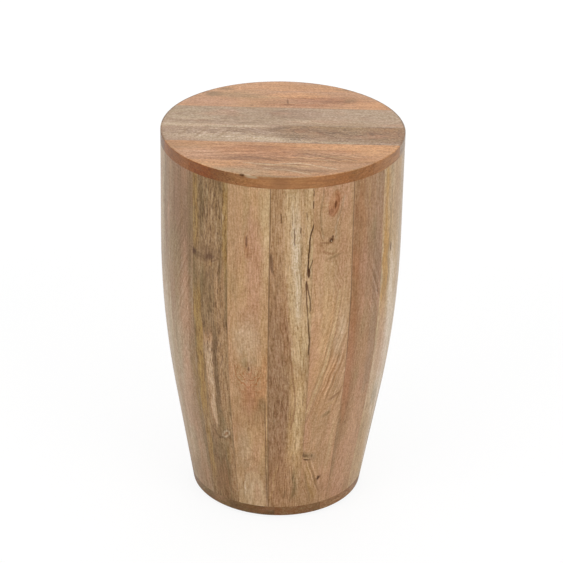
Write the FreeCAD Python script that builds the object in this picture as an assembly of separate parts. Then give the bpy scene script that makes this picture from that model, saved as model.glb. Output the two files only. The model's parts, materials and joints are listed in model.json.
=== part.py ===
import FreeCAD
import Part

import math
import os

# Drum side table of coopered hardwood staves, closed by a boarded top and a boarded base.
# Millimetres, +Z up, origin on the floor under the drum's axis. The front faces -Y.

# Overall form
OVERALL_HEIGHT = 500.0
DRUM_DIAMETER = 303.0
STRAIGHT_HEIGHT = 142.0
BELLY_HEIGHT = 212.0
FOOT_TAPER_DEGREES = 9.5
TOP_ARRIS_RADIUS = 1.5
BASE_ARRIS_RADIUS = 2.5

# Stave wall
STAVE_COUNT = 18
STAVE_THICKNESS = 18.0
FIRST_SEAM_DEGREES = -4.3

# Boarded top and base
TOP_THICKNESS = 15.0
TOP_BOARD_COUNT = 6
TOP_PANEL_TRIM = 27.0
TOP_PANEL_OFFSET = 7.0
BASE_THICKNESS = 15.0
BASE_BOARD_COUNT = 4
BASE_PANEL_TRIM = 7.0
BASE_PANEL_OFFSET = 0.0

# Plugs that seat the top and the base in the stave wall
PLUG_THICKNESS = 12.0
REBATE_DEPTH = 7.0
PLUG_CLEARANCE = 0.3

# Countersunk wood screws that hold each plug to its boards
SCREW_RADIUS = 2.0
SCREW_HEAD_RADIUS = 4.0
SCREW_POINT = 4.0
SCREW_TIP_COVER = 5.0
SCREW_RIM_MARGIN = 30.0
SCREW_CLEARANCE = 0.05
DRIVE_LENGTH = 4.4
DRIVE_WIDTH = 1.0
DRIVE_DEPTH = 1.6

# Nail-on glides under the base
GLIDE_COUNT = 4
GLIDE_RADIUS = 12.0
GLIDE_THICKNESS = 3.0
GLIDE_EDGE_RADIUS = 1.5
GLIDE_RIM_MARGIN = 6.0
NAIL_RADIUS = 1.1
NAIL_POINT = 2.5
NAIL_TIP_COVER = 4.4
NAIL_HEAD_RADIUS = 3.2
NAIL_HEAD_THICKNESS = 1.0
NAIL_HEAD_SETBACK = 0.6
NAIL_CLEARANCE = 0.05

# Levels that follow from the sizes above
DRUM_RADIUS = DRUM_DIAMETER / 2.0
FOOT_TAPER = math.radians(FOOT_TAPER_DEGREES)
BELLY_ARC_RADIUS = BELLY_HEIGHT / math.sin(FOOT_TAPER)
BELLY_TOP = OVERALL_HEIGHT - STRAIGHT_HEIGHT
BELLY_FOOT = BELLY_TOP - BELLY_HEIGHT
BASE_UNDERSIDE = GLIDE_THICKNESS
BASE_JOINT = BASE_UNDERSIDE + BASE_THICKNESS
BASE_PLUG_FACE = BASE_JOINT + PLUG_THICKNESS
BASE_SHOULDER = BASE_PLUG_FACE + PLUG_CLEARANCE
TOP_JOINT = OVERALL_HEIGHT - TOP_THICKNESS
TOP_PLUG_FACE = TOP_JOINT - PLUG_THICKNESS
TOP_SHOULDER = TOP_PLUG_FACE - PLUG_CLEARANCE

# Lengths of the fasteners, which stop short of the outer faces
TOP_SCREW_LENGTH = PLUG_THICKNESS + TOP_THICKNESS - SCREW_TIP_COVER
BASE_SCREW_LENGTH = PLUG_THICKNESS + BASE_THICKNESS - SCREW_TIP_COVER
NAIL_SEAT = NAIL_HEAD_SETBACK + NAIL_HEAD_THICKNESS
NAIL_TIP = BASE_JOINT - NAIL_TIP_COVER

ORIGIN = FreeCAD.Vector(0, 0, 0)
UP = FreeCAD.Vector(0, 0, 1)
ACROSS = FreeCAD.Vector(1, 0, 0)
FULL_TURN = 360.0
HALF_TURN = 180.0
QUARTER_TURN = 90.0


def drum_radius_at(height):
    """Outer radius of the turned drum: straight at the top, then a belly arc and a taper to the foot."""
    if height >= BELLY_TOP:
        return DRUM_RADIUS
    fall = min(BELLY_TOP - height, BELLY_HEIGHT)
    radius = DRUM_RADIUS - BELLY_ARC_RADIUS + math.sqrt(BELLY_ARC_RADIUS**2 - fall**2)
    return radius - max(BELLY_FOOT - height, 0.0) * math.tan(FOOT_TAPER)


# Radii that follow from the drum's outline
BASE_RADIUS = drum_radius_at(BASE_UNDERSIDE)
BASE_REBATE_RADIUS = drum_radius_at(BASE_SHOULDER) - STAVE_THICKNESS + REBATE_DEPTH
BASE_PLUG_RADIUS = BASE_REBATE_RADIUS - PLUG_CLEARANCE
TOP_REBATE_RADIUS = drum_radius_at(TOP_SHOULDER) - STAVE_THICKNESS + REBATE_DEPTH
TOP_PLUG_RADIUS = TOP_REBATE_RADIUS - PLUG_CLEARANCE
GLIDE_CIRCLE_RADIUS = BASE_RADIUS - GLIDE_RIM_MARGIN - GLIDE_RADIUS


def section_point(radius, height):
    """Point of a half section, which lies in the XZ plane."""
    return FreeCAD.Vector(radius, 0, height)


def wall_point(height, inset=0.0):
    """Point of the drum's outline at a height, moved inwards by inset."""
    return section_point(drum_radius_at(height) - inset, height)


def wall_edges(low, high, inset=0.0):
    """Outline of the drum from low to high, moved inwards by inset: taper, belly arc, straight."""
    arc_low = min(max(BELLY_FOOT, low), high)
    arc_high = min(max(BELLY_TOP, low), high)
    edges = []
    if arc_low > low:
        edges.append(Part.LineSegment(wall_point(low, inset), wall_point(arc_low, inset)).toShape())
    if arc_high > arc_low:
        heights = (arc_low, (arc_low + arc_high) / 2.0, arc_high)
        edges.append(Part.Arc(*(wall_point(height, inset) for height in heights)).toShape())
    if high > arc_high:
        edges.append(Part.LineSegment(wall_point(arc_high, inset), wall_point(high, inset)).toShape())
    return edges


def straight_edges(points):
    """Straight edges through a list of section points."""
    return [Part.LineSegment(start, end).toShape() for start, end in zip(points, points[1:])]


def eased_corner(before, corner, after, radius):
    """Start and end of a corner's rounding, and the arc edge between them."""
    towards_before = (before - corner).normalize()
    towards_after = (after - corner).normalize()
    half_angle = towards_before.getAngle(towards_after) / 2.0
    setback = radius / math.tan(half_angle)
    start = corner + towards_before * setback
    end = corner + towards_after * setback
    bisector = (towards_before + towards_after).normalize()
    middle = corner + bisector * (radius / math.sin(half_angle) - radius)
    return start, end, Part.Arc(start, middle, end).toShape()


def turned(edges, degrees=FULL_TURN):
    """Solid made by turning a closed half section about the vertical axis."""
    section = Part.Face(Part.Wire(Part.__sortEdges__(edges)))
    return section.revolve(ORIGIN, UP, degrees)


def turned_polygon(points):
    """Solid made by turning the closed polygon through section points."""
    return turned(straight_edges(points + points[:1]))


def turned_disc(rim_low, rim_high, low_easing=0.0, high_easing=0.0):
    """Round disc between two rim points, with its lower or its upper arris eased."""
    centre_low = section_point(0, rim_low.z)
    centre_high = section_point(0, rim_high.z)
    edges = []
    if low_easing:
        low_end, rim_low, easing = eased_corner(centre_low, rim_low, rim_high, low_easing)
        edges += straight_edges([centre_low, low_end]) + [easing]
    else:
        edges += straight_edges([centre_low, rim_low])
    if high_easing:
        rim_end, high_start, easing = eased_corner(rim_low, rim_high, centre_high, high_easing)
        edges += straight_edges([rim_low, rim_end]) + [easing]
    else:
        high_start = rim_high
        edges += straight_edges([rim_low, rim_high])
    return turned(edges + straight_edges([high_start, centre_high, centre_low]))


def moved_copies(form, places):
    """Copies of a form, each moved to a place."""
    copies = []
    for place in places:
        copy = form.copy()
        copy.translate(place)
        copies.append(copy)
    return copies


def cut_by(solid, tools):
    """The solid less every tool that reaches it."""
    near = [tool for tool in tools if solid.BoundBox.intersect(tool.BoundBox)]
    return solid.cut(near) if near else solid


def stave_end(joint, shoulder, rebate_radius):
    """Edges of a stave's end, from its outer corner over the rebate for the plug to its inner face."""
    return straight_edges(
        [
            wall_point(joint),
            section_point(rebate_radius, joint),
            section_point(rebate_radius, shoulder),
            wall_point(shoulder, STAVE_THICKNESS),
        ]
    )


def staves():
    """The staves, counted from the front towards +X, each between two radial glue faces."""
    step = FULL_TURN / STAVE_COUNT
    outer = wall_edges(BASE_JOINT, TOP_JOINT)
    inner = wall_edges(BASE_SHOULDER, TOP_SHOULDER, STAVE_THICKNESS)
    upper_end = stave_end(TOP_JOINT, TOP_SHOULDER, TOP_REBATE_RADIUS)
    lower_end = stave_end(BASE_JOINT, BASE_SHOULDER, BASE_REBATE_RADIUS)
    wedge = turned(outer + upper_end + inner + lower_end, step)
    pieces = []
    for number in range(STAVE_COUNT):
        piece = wedge.copy()
        piece.rotate(ORIGIN, UP, FIRST_SEAM_DEGREES - QUARTER_TURN + number * step)
        pieces.append(piece)
    return pieces


def board_edges(radius, count, trim, offset):
    """Places of the board edges across a disc that is turned from a panel of equal boards, a trim wider."""
    panel_width = 2.0 * radius + trim
    panel_edge = offset - panel_width / 2.0
    seams = [panel_edge + panel_width * number / count for number in range(1, count)]
    return [-radius] + seams + [radius]


def boards(blank, edges, turn=0.0):
    """The round blank sawn along X at its board edges, and its boards then turned together about the axis."""
    box = blank.BoundBox
    reach = box.DiagonalLength
    pieces = []
    for low, high in zip(edges, edges[1:]):
        corner = FreeCAD.Vector(-reach, low, box.ZMin)
        stock = Part.makeBox(2.0 * reach, high - low, box.ZLength, corner)
        piece = blank.common(stock)
        piece.rotate(ORIGIN, UP, turn)
        pieces.append(piece)
    return pieces


def screw_places(edges, plug_radius):
    """Two places on each board's middle line, as (across, along): a margin in from the plug's rim, or
    half way out to it on a short board."""
    places = []
    for low, high in zip(edges, edges[1:]):
        across = (max(low, -plug_radius) + min(high, plug_radius)) / 2.0
        half_chord = math.sqrt(plug_radius**2 - across**2)
        along = max(half_chord - SCREW_RIM_MARGIN, half_chord / 2.0)
        places += [(across, -along), (across, along)]
    return places


def screw_form(length, clearance=0.0):
    """Countersunk head, plain shank and point of a wood screw, head at the origin and point upwards."""
    head = SCREW_HEAD_RADIUS + clearance
    shank = SCREW_RADIUS + clearance
    return turned_polygon(
        [
            section_point(0, 0),
            section_point(head, 0),
            section_point(shank, head - shank),
            section_point(shank, length - SCREW_POINT),
            section_point(0, length + clearance),
        ]
    )


def screw(length):
    """One wood screw with its cross drive."""
    corner = FreeCAD.Vector(-DRIVE_LENGTH / 2.0, -DRIVE_WIDTH / 2.0, 0)
    slot = Part.makeBox(DRIVE_LENGTH, DRIVE_WIDTH, DRIVE_DEPTH, corner)
    cross_slot = slot.copy()
    cross_slot.rotate(ORIGIN, UP, QUARTER_TURN)
    return screw_form(length).cut([slot, cross_slot])


def pointing_down(form):
    """Copy of a form turned over about the X axis."""
    copy = form.copy()
    copy.rotate(ORIGIN, ACROSS, HALF_TURN)
    return copy


def plug(radius, underside):
    """Disc that seats in the rebate of the stave wall."""
    return Part.makeCylinder(radius, PLUG_THICKNESS, section_point(0, underside))


def nail_form(head_underside, clearance=0.0):
    """Flat head, shank and point of a glide's nail, with the floor at zero."""
    head = NAIL_HEAD_RADIUS + clearance
    shank = NAIL_RADIUS + clearance
    return turned_polygon(
        [
            section_point(0, head_underside),
            section_point(head, head_underside),
            section_point(head, NAIL_SEAT),
            section_point(shank, NAIL_SEAT),
            section_point(shank, NAIL_TIP - NAIL_POINT),
            section_point(0, NAIL_TIP + clearance),
        ]
    )


def glide_places():
    """Centres of the glides, evenly spaced between the X and Y axes."""
    step = FULL_TURN / GLIDE_COUNT
    places = []
    for number in range(GLIDE_COUNT):
        turn = math.radians(step * number + step / 2.0)
        x = GLIDE_CIRCLE_RADIUS * math.cos(turn)
        y = GLIDE_CIRCLE_RADIUS * math.sin(turn)
        places.append(FreeCAD.Vector(x, y, 0))
    return places


def numbered(stem, pieces):
    """Pieces keyed by a numbered name."""
    return {f"{stem}_{number:02d}": piece for number, piece in enumerate(pieces, start=1)}


def top_nodes():
    """Top boards along X, the plug under them and the screws that go up through it."""
    blank = turned_disc(wall_point(TOP_JOINT), wall_point(OVERALL_HEIGHT), high_easing=TOP_ARRIS_RADIUS)
    edges = board_edges(DRUM_RADIUS, TOP_BOARD_COUNT, TOP_PANEL_TRIM, TOP_PANEL_OFFSET)
    places = [
        FreeCAD.Vector(along, across, TOP_PLUG_FACE)
        for across, along in screw_places(edges, TOP_PLUG_RADIUS)
    ]
    holes = moved_copies(screw_form(TOP_SCREW_LENGTH, SCREW_CLEARANCE), places)
    nodes = numbered("top_board", [cut_by(board, holes) for board in boards(blank, edges)])
    nodes["top_plug"] = cut_by(plug(TOP_PLUG_RADIUS, TOP_PLUG_FACE), holes)
    nodes["top_screws"] = Part.makeCompound(moved_copies(screw(TOP_SCREW_LENGTH), places))
    return nodes


def base_nodes():
    """Base boards along Y, the plug on them and the screws that go down through it."""
    blank = turned_disc(wall_point(BASE_UNDERSIDE), wall_point(BASE_JOINT), low_easing=BASE_ARRIS_RADIUS)
    rim_radius = drum_radius_at(BASE_JOINT)
    edges = board_edges(rim_radius, BASE_BOARD_COUNT, BASE_PANEL_TRIM, BASE_PANEL_OFFSET)
    places = [
        FreeCAD.Vector(across, along, BASE_PLUG_FACE)
        for across, along in screw_places(edges, BASE_PLUG_RADIUS)
    ]
    hole = pointing_down(screw_form(BASE_SCREW_LENGTH, SCREW_CLEARANCE))
    screw_holes = moved_copies(hole, places)
    nail_holes = moved_copies(nail_form(0.0, NAIL_CLEARANCE), glide_places())
    holes = screw_holes + nail_holes
    sawn = boards(blank, edges, -QUARTER_TURN)
    nodes = numbered("base_board", [cut_by(board, holes) for board in sawn])
    nodes["base_plug"] = cut_by(plug(BASE_PLUG_RADIUS, BASE_JOINT), screw_holes)
    base_screw = pointing_down(screw(BASE_SCREW_LENGTH))
    nodes["base_screws"] = Part.makeCompound(moved_copies(base_screw, places))
    return nodes


def glide_nodes():
    """Round glides under the base, and the nails that hold them."""
    rim_low = section_point(GLIDE_RADIUS, 0)
    rim_high = section_point(GLIDE_RADIUS, GLIDE_THICKNESS)
    disc = turned_disc(rim_low, rim_high, low_easing=GLIDE_EDGE_RADIUS)
    glide = disc.cut(nail_form(0.0, NAIL_CLEARANCE))
    nodes = numbered("floor_glide", moved_copies(glide, glide_places()))
    nail = nail_form(NAIL_HEAD_SETBACK)
    nodes["glide_nails"] = Part.makeCompound(moved_copies(nail, glide_places()))
    return nodes


def main():
    """Writes one STEP file for each piece."""
    os.makedirs("parts", exist_ok=True)
    nodes = numbered("stave", staves())
    nodes.update(top_nodes())
    nodes.update(base_nodes())
    nodes.update(glide_nodes())
    for name, shape in nodes.items():
        shape.exportStep(f"parts/{name}.step")
        print(f"{name}: {len(shape.Solids)} solid(s), {shape.Volume:.1f} mm3, valid {shape.isValid()}")


main()
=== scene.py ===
"""Looks of the drum side table: lacquered staves, boarded top and base, plugs, screws and floor glides.

Places and sizes of the studio are in metres, in the part's frame. The wood finishes measure in millimetres on
each board: across its face, into its face, and along its grain.
"""
import json
import logging
import math
import random
from abc import ABC, abstractmethod
from dataclasses import dataclass, field
from enum import Enum
from typing import Any, ClassVar, Iterator, Sequence, Union

import bmesh
import bpy
from mathutils import Matrix, Quaternion, Vector


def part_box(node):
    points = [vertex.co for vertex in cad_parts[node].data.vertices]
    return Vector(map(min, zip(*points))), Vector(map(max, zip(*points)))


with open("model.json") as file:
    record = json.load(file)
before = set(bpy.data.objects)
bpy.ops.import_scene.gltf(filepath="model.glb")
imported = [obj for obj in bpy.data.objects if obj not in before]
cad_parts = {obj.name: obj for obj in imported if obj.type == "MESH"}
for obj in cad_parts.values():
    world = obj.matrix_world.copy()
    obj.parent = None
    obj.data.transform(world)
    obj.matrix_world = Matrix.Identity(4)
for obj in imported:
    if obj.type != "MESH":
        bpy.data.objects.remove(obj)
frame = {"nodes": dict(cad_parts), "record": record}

LOG = logging.getLogger("drum_table")
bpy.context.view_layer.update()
MILLIMETRES = 1000.0
NOISE_MIDDLE = 0.5

Colour = tuple[float, float, float, float]
Point = tuple[float, float]
Span = tuple[float, float]
Triple = tuple[float, float, float]
Socket = bpy.types.NodeSocket
ORIGIN: Triple = (0.0, 0.0, 0.0)


class Tone(Enum):
    """Named colours of woods and fittings, as sRGB bytes."""

    MILK = (224, 202, 174)
    PEARL = (206, 182, 150)
    CREAM = (202, 170, 126)
    STRAW = (192, 154, 104)
    PEACH = (196, 152, 112)
    BLUSH = (190, 142, 110)
    APRICOT = (190, 136, 88)
    GLOW = (214, 154, 100)
    TAN = (180, 141, 100)
    FAWN = (168, 133, 93)
    ROSE = (172, 128, 89)
    HONEY = (190, 140, 66)
    OCHRE = (166, 128, 68)
    SHELL = (178, 148, 122)
    ASH = (176, 151, 118)
    MAUVE = (160, 126, 95)
    PLUM = (142, 107, 77)
    SIENNA = (170, 106, 58)
    RUSSET = (152, 106, 66)
    CHESTNUT = (132, 86, 48)
    UMBER = (146, 113, 74)
    OLIVE = (122, 97, 58)
    MOSS = (140, 118, 76)
    RUST = (130, 76, 36)
    DUSK = (106, 76, 44)
    BARK = (84, 50, 22)
    EMBER = (106, 56, 16)
    PITCH = (70, 36, 2)
    RIM_TONE = (216, 190, 148)
    BIRCH = (214, 186, 146)
    BIRCH_GLUE = (150, 112, 76)
    ZINC = (198, 192, 176)
    ZINC_DULL = (150, 144, 130)
    NYLON = (222, 219, 209)
    NYLON_SCUFFED = (196, 192, 180)
    FLOOR = (240, 240, 240)
    WHITE = (255, 255, 255)

    @property
    def linear(self) -> Colour:
        """The tone as the linear colour that shaders take."""
        red, green, blue = (_to_linear(channel / 255.0) for channel in self.value)
        return (red, green, blue, 1.0)


def _to_linear(level: float) -> float:
    """One sRGB channel, 0 to 1, as a linear one."""
    return level / 12.92 if level <= 0.04045 else ((level + 0.055) / 1.055) ** 2.4


class Value:
    """A number that changes over a surface: wraps an output socket, and arithmetic on it adds Math nodes."""

    def __init__(self, tree: "ShaderTree", socket: Socket) -> None:
        """Keeps the tree that the socket belongs to."""
        self.tree = tree
        self.socket = socket

    def __add__(self, other: "Term") -> "Value":
        """This plus other."""
        return self.tree.math("ADD", self, other)

    def __radd__(self, other: "Term") -> "Value":
        """Other plus this."""
        return self.tree.math("ADD", other, self)

    def __sub__(self, other: "Term") -> "Value":
        """This less other."""
        return self.tree.math("SUBTRACT", self, other)

    def __rsub__(self, other: "Term") -> "Value":
        """Other less this."""
        return self.tree.math("SUBTRACT", other, self)

    def __mul__(self, other: "Term") -> "Value":
        """This times other."""
        return self.tree.math("MULTIPLY", self, other)

    def __rmul__(self, other: "Term") -> "Value":
        """Other times this."""
        return self.tree.math("MULTIPLY", other, self)

    def __truediv__(self, other: "Term") -> "Value":
        """This over other."""
        return self.tree.math("DIVIDE", self, other)

    def __pow__(self, other: "Term") -> "Value":
        """This to the power of other."""
        return self.tree.math("POWER", self, other)

    def __rpow__(self, other: "Term") -> "Value":
        """Other to the power of this."""
        return self.tree.math("POWER", other, self)

    def __neg__(self) -> "Value":
        """This with its sign changed."""
        return self.tree.math("MULTIPLY", self, -1.0)

    def __abs__(self) -> "Value":
        """This without its sign."""
        return self.tree.math("ABSOLUTE", self)

    def root(self) -> "Value":
        """The square root."""
        return self.tree.math("SQRT", self)

    def least(self, other: "Term") -> "Value":
        """The smaller of this and other."""
        return self.tree.math("MINIMUM", self, other)

    def most(self, other: "Term") -> "Value":
        """The larger of this and other."""
        return self.tree.math("MAXIMUM", self, other)

    def clamped(self) -> "Value":
        """This kept between 0 and 1."""
        return self.most(0.0).least(1.0)

    def centred(self) -> "Value":
        """A noise of 0 to 1 as what it is above or below its middle."""
        return self - NOISE_MIDDLE

    def rising(self, low: "Term", high: "Term") -> "Value":
        """Goes smoothly from 0 at low to 1 at high."""
        return self.tree.step(self, low, high)

    def falling(self, low: "Term", high: "Term") -> "Value":
        """Goes smoothly from 1 at low to 0 at high."""
        return self.tree.step(self, high, low)


Term = Union[Value, float]
Feed = Union[Value, Tone, Socket, float, Sequence[float]]


@dataclass(frozen=True)
class Noise:
    """A cloudy noise: its scale on three axes, as grains to a unit, and how fine and rough it goes."""

    scale: Triple
    detail: float = 2.0
    roughness: float = 0.5


class ShaderTree:
    """The nodes of one material or of the world."""

    MIX_COLOUR_FACTOR, MIX_COLOUR_A, MIX_COLOUR_B = 0, 6, 7
    MIX_COLOUR_RESULT = 2

    def __init__(self, owner: bpy.types.Material | bpy.types.World) -> None:
        """Starts the owner's node tree from empty.

        Args:
            owner: The material or the world.
        """
        owner.use_nodes = True
        self.tree = owner.node_tree
        self.tree.nodes.clear()

    def node(self, kind: str, settings: dict[str, Any] | None = None,
             inputs: dict[str | int, Feed] | None = None) -> bpy.types.Node:
        """Adds any node.

        Args:
            kind: The node's type.
            settings: Its settings, which are set first.
            inputs: Values or links of its sockets, by name or number.

        Returns:
            The new node.
        """
        made = self.tree.nodes.new(kind)
        for name, setting in (settings or {}).items():
            if getattr(made, name) != setting:
                setattr(made, name, setting)
        for name, given in (inputs or {}).items():
            self.feed(made.inputs[name], given)
        return made

    def feed(self, socket: Socket, given: Feed) -> None:
        """Links a value or a socket to an input, or sets a number or a tone on it.

        Args:
            socket: The input.
            given: What goes in.
        """
        if isinstance(given, Value):
            self.tree.links.new(given.socket, socket)
        elif isinstance(given, Socket):
            self.tree.links.new(given, socket)
        elif isinstance(given, Tone):
            socket.default_value = given.linear
        elif not isinstance(given, float) or socket.default_value != given:
            socket.default_value = given

    def value(self, node: bpy.types.Node, output: str | int = 0) -> Value:
        """A node's output as a value."""
        return Value(self, node.outputs[output])

    def math(self, operation: str, *terms: Term) -> Value:
        """Adds a Math node on one or two terms."""
        return self.value(self.node("ShaderNodeMath", {"operation": operation}, dict(enumerate(terms))))

    def step(self, given: Value, start: Term, end: Term) -> Value:
        """A smooth step of a value from 0 at start to 1 at end, which may lie below start."""
        return self.value(self.node("ShaderNodeMapRange", {"interpolation_type": "SMOOTHSTEP"}, {
            "Value": given, "From Min": start, "From Max": end}))

    def colour(self, factor: Term, below: Feed, above: Feed, blend: str = "MIX") -> Socket:
        """Lays one colour over another.

        Args:
            factor: How much of the upper colour shows.
            below: The lower colour.
            above: The upper colour.
            blend: The blend type.

        Returns:
            The mixed colour's socket.
        """
        mix = self.node("ShaderNodeMix", {"data_type": "RGBA", "blend_type": blend},
                        {self.MIX_COLOUR_FACTOR: factor, self.MIX_COLOUR_A: below, self.MIX_COLOUR_B: above})
        return mix.outputs[self.MIX_COLOUR_RESULT]

    def vector(self, across: Term, depth: Term, along: Term) -> Socket:
        """Three values as a vector."""
        return self.node("ShaderNodeCombineXYZ", None, {0: across, 1: depth, 2: along}).outputs[0]

    def parts(self, vector: Socket) -> tuple[Value, Value, Value]:
        """A vector as its three values."""
        split = self.node("ShaderNodeSeparateXYZ", None, {0: vector})
        return (self.value(split, 0), self.value(split, 1), self.value(split, 2))

    def placed(self, vector: Socket, scale: Triple, shift: Triple = ORIGIN, turn: Triple = ORIGIN) -> Socket:
        """A vector scaled, then turned, then shifted."""
        return self.node("ShaderNodeMapping", None, {
            "Vector": vector, "Scale": scale, "Location": shift, "Rotation": turn}).outputs[0]

    def place(self, scale: float = MILLIMETRES, shift: Triple = ORIGIN, turn: Triple = ORIGIN) -> Socket:
        """Where each point of the piece is, scaled, then turned, then shifted."""
        return self.placed(self.node("ShaderNodeTexCoord").outputs["Object"], (scale,) * 3, shift, turn)

    def noise(self, vector: Socket, kind: Noise, shift: Triple = ORIGIN) -> Value:
        """A noise in a vector's space, mostly from 0.25 to 0.75."""
        return self.value(self.node("ShaderNodeTexNoise", None, {
            "Vector": self.placed(vector, kind.scale, shift), "Scale": 1.0, "Detail": kind.detail,
            "Roughness": kind.roughness}))

    def line_noise(self, place: Term, detail: float) -> Value:
        """The same noise along a single value."""
        return self.value(self.node("ShaderNodeTexNoise", {"noise_dimensions": "1D"}, {
            "W": place, "Scale": 1.0, "Detail": detail}))

    def mixed(self, factor: Value, first: bpy.types.Node, second: bpy.types.Node) -> bpy.types.Node:
        """Mixes two shaders: the first at 0, the second at 1."""
        return self.node("ShaderNodeMixShader", None, {0: factor, 1: first.outputs[0], 2: second.outputs[0]})

    def show(self, shader: bpy.types.Node, output: str = "ShaderNodeOutputMaterial") -> None:
        """Ends the tree with a shader on its output."""
        self.node(output, None, {"Surface": shader.outputs[0]})


@dataclass(frozen=True)
class BoardFrame:
    """Where a board lies: the turn and shift that take the part's millimetres to the board's own."""

    STAVE_DEPTH_SHARE: ClassVar[float] = 0.12

    turn: Triple
    shift: Triple
    depth_share: float = 1.0

    @classmethod
    def of_stave(cls, azimuth: float, drum_radius: float) -> "BoardFrame":
        """Frame of an upright stave: across the tangent, into the drum, up the axis.

        Args:
            azimuth: Degrees from the front towards the right.
            drum_radius: Millimetres from the axis to the straight wall.

        Returns:
            The stave's frame, with depth 0 on the straight wall.
        """
        return cls((0.0, 0.0, -math.radians(azimuth)), (0.0, drum_radius, 0.0), cls.STAVE_DEPTH_SHARE)

    @classmethod
    def of_top_board(cls, face_height: float) -> "BoardFrame":
        """Frame of a top board: across towards the back, depth 0 on the face, along to the right."""
        turn = Matrix(((0.0, 1.0, 0.0), (0.0, 0.0, 1.0), (1.0, 0.0, 0.0))).to_euler()
        return cls(tuple(turn), (0.0, -face_height, 0.0))

    @classmethod
    def of_base_board(cls) -> "BoardFrame":
        """Frame of a base board: across to the right, depth down, along towards the back."""
        return cls((math.radians(90.0), 0.0, 0.0), ORIGIN)


@dataclass(frozen=True)
class Sawing:
    """How a board was cut from its log, in millimetres: where the pith lay and how the grain runs."""

    pith_across: float
    pith_depth: float
    tilt: float
    ring_gap: float = 5.0
    warp: float = 4.0
    sweep: float = 0.0
    sweep_from: float = 100.0
    sweep_to: float = 400.0


class Mark:
    """Something that shows in a board: it may bend the growth rings, and it stains the face."""

    FADE: ClassVar[Span] = (0.5, 1.2)

    def bend(self, grain: "WoodGrain") -> None:
        """Leaves the growth rings as they are."""

    def stain(self, grain: "WoodGrain") -> None:
        """Leaves the face as it is."""


@dataclass(frozen=True)
class Streak(Mark):
    """A band of another tone along the grain, from its foot to its head, both (across, along)."""

    tone: Tone
    foot: Point
    head: Point
    width: float
    head_width: float | None = None
    strength: float = 0.7
    soft: float = 6.0
    fade: float = 40.0
    wander: float = 1.5
    ragged: float = 16.0
    sunk: float = 0.0

    def mask(self, grain: "WoodGrain") -> Value:
        """1 inside the band, 0 outside.

        Args:
            grain: The board's grain.

        Returns:
            The band's cover.
        """
        (foot_across, foot_along), (head_across, head_along) = self.foot, self.head
        length = head_along - foot_along
        slope = (head_across - foot_across) / length
        centre = grain.along * slope + (foot_across - slope * foot_along)
        head_width = self.width if self.head_width is None else self.head_width
        widening = (head_width - self.width) / length / 2.0
        half: Term = self.width / 2.0
        if widening:
            half = grain.along * widening + (self.width / 2.0 - widening * foot_along)
        offset = grain.across - centre + grain.wander * self.wander
        edge = abs(offset) + grain.feather * self.ragged - half
        inside = edge.falling(-self.soft / 2.0, self.soft / 2.0)
        low, high = sorted((foot_along, head_along))
        reach = grain.along + grain.feather * (2.0 * self.fade)
        return inside * reach.rising(low, low + self.fade) * reach.falling(high - self.fade, high)

    def stain(self, grain: "WoodGrain") -> None:
        """Lays the band on the board."""
        grain.mark(self.mask(grain), self.tone, self.strength, self.sunk)


@dataclass(frozen=True)
class Crack(Mark):
    """A split: a fine dark line through a few points, each (across, along)."""

    LAP: ClassVar[float] = 1.5
    RAGGED: ClassVar[float] = 1.2

    path: tuple[Point, ...]
    width: float = 1.3
    tone: Tone = Tone.PITCH
    strength: float = 0.85
    wander: float = 0.7
    soft: float = 0.9
    sunk: float = 0.85

    def stain(self, grain: "WoodGrain") -> None:
        """Draws each run of the line, a little past both its points so that the runs meet.

        Args:
            grain: The board's grain.
        """
        for start, end in zip(self.path, self.path[1:]):
            lap = self.LAP / abs(end[1] - start[1])
            step = ((end[0] - start[0]) * lap, (end[1] - start[1]) * lap)
            foot = (start[0] - step[0], start[1] - step[1])
            head = (end[0] + step[0], end[1] + step[1])
            run = Streak(self.tone, foot, head, self.width, strength=self.strength, soft=self.soft,
                         fade=2.0 * self.LAP, wander=self.wander, ragged=self.RAGGED, sunk=self.sunk)
            run.stain(grain)


@dataclass(frozen=True)
class Vein(Crack):
    """A fine line of another tone in sound wood, through a few points."""

    sunk: float = 0.0


@dataclass(frozen=True)
class Patch(Mark):
    """A rounded stain with soft, uneven edges, centred at (across, along)."""

    DEEP_FADE: ClassVar[float] = 0.5

    tone: Tone
    place: Point
    reach: Point
    strength: float
    soft: float = 0.6
    uneven: float = 1.2
    turn: float = 0.0
    sunk: float = 0.0
    deep: float | None = None

    def stain(self, grain: "WoodGrain") -> None:
        """Lays the stain on the board.

        Args:
            grain: The board's grain.
        """
        distance = grain.distance(self.place, self.reach, self.turn, self.uneven)
        cover = (distance + grain.feather * self.uneven).falling(1.0 - self.soft, 1.0 + self.soft)
        if self.deep is not None:
            cover = cover * abs(grain.depth).falling(self.DEEP_FADE * self.deep, self.deep)
        grain.mark(cover, self.tone, self.strength, self.sunk)


@dataclass(frozen=True)
class Swell(Mark):
    """A place that the growth rings go round, so that they show as arches and ovals."""

    place: Point
    flow: Point
    lift: float

    def bend(self, grain: "WoodGrain") -> None:
        """Lifts the growth rings round the place."""
        distance = grain.distance(self.place, self.flow)
        grain.ring_field = grain.ring_field + (math.e ** -(distance * distance)) * self.lift


@dataclass(frozen=True)
class Feather(Mark):
    """Lines that run askew to the grain inside a rounded patch, as where two stems of the tree met."""

    CONTRAST: ClassVar[float] = 4.0

    place: Point
    reach: Point
    lean: float
    gap: float
    strength: float

    def stain(self, grain: "WoodGrain") -> None:
        """Shades the lines, lighter and darker by turns.

        Args:
            grain: The board's grain.
        """
        cover = grain.distance(self.place, self.reach).falling(*self.FADE)
        lean = math.radians(self.lean)
        askew = grain.across * math.cos(lean) - grain.along * math.sin(lean) + grain.wander
        lines = grain.lines(askew / self.gap)
        grain.shade(1.0 + lines.centred() * cover * (self.CONTRAST * self.strength))


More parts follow.
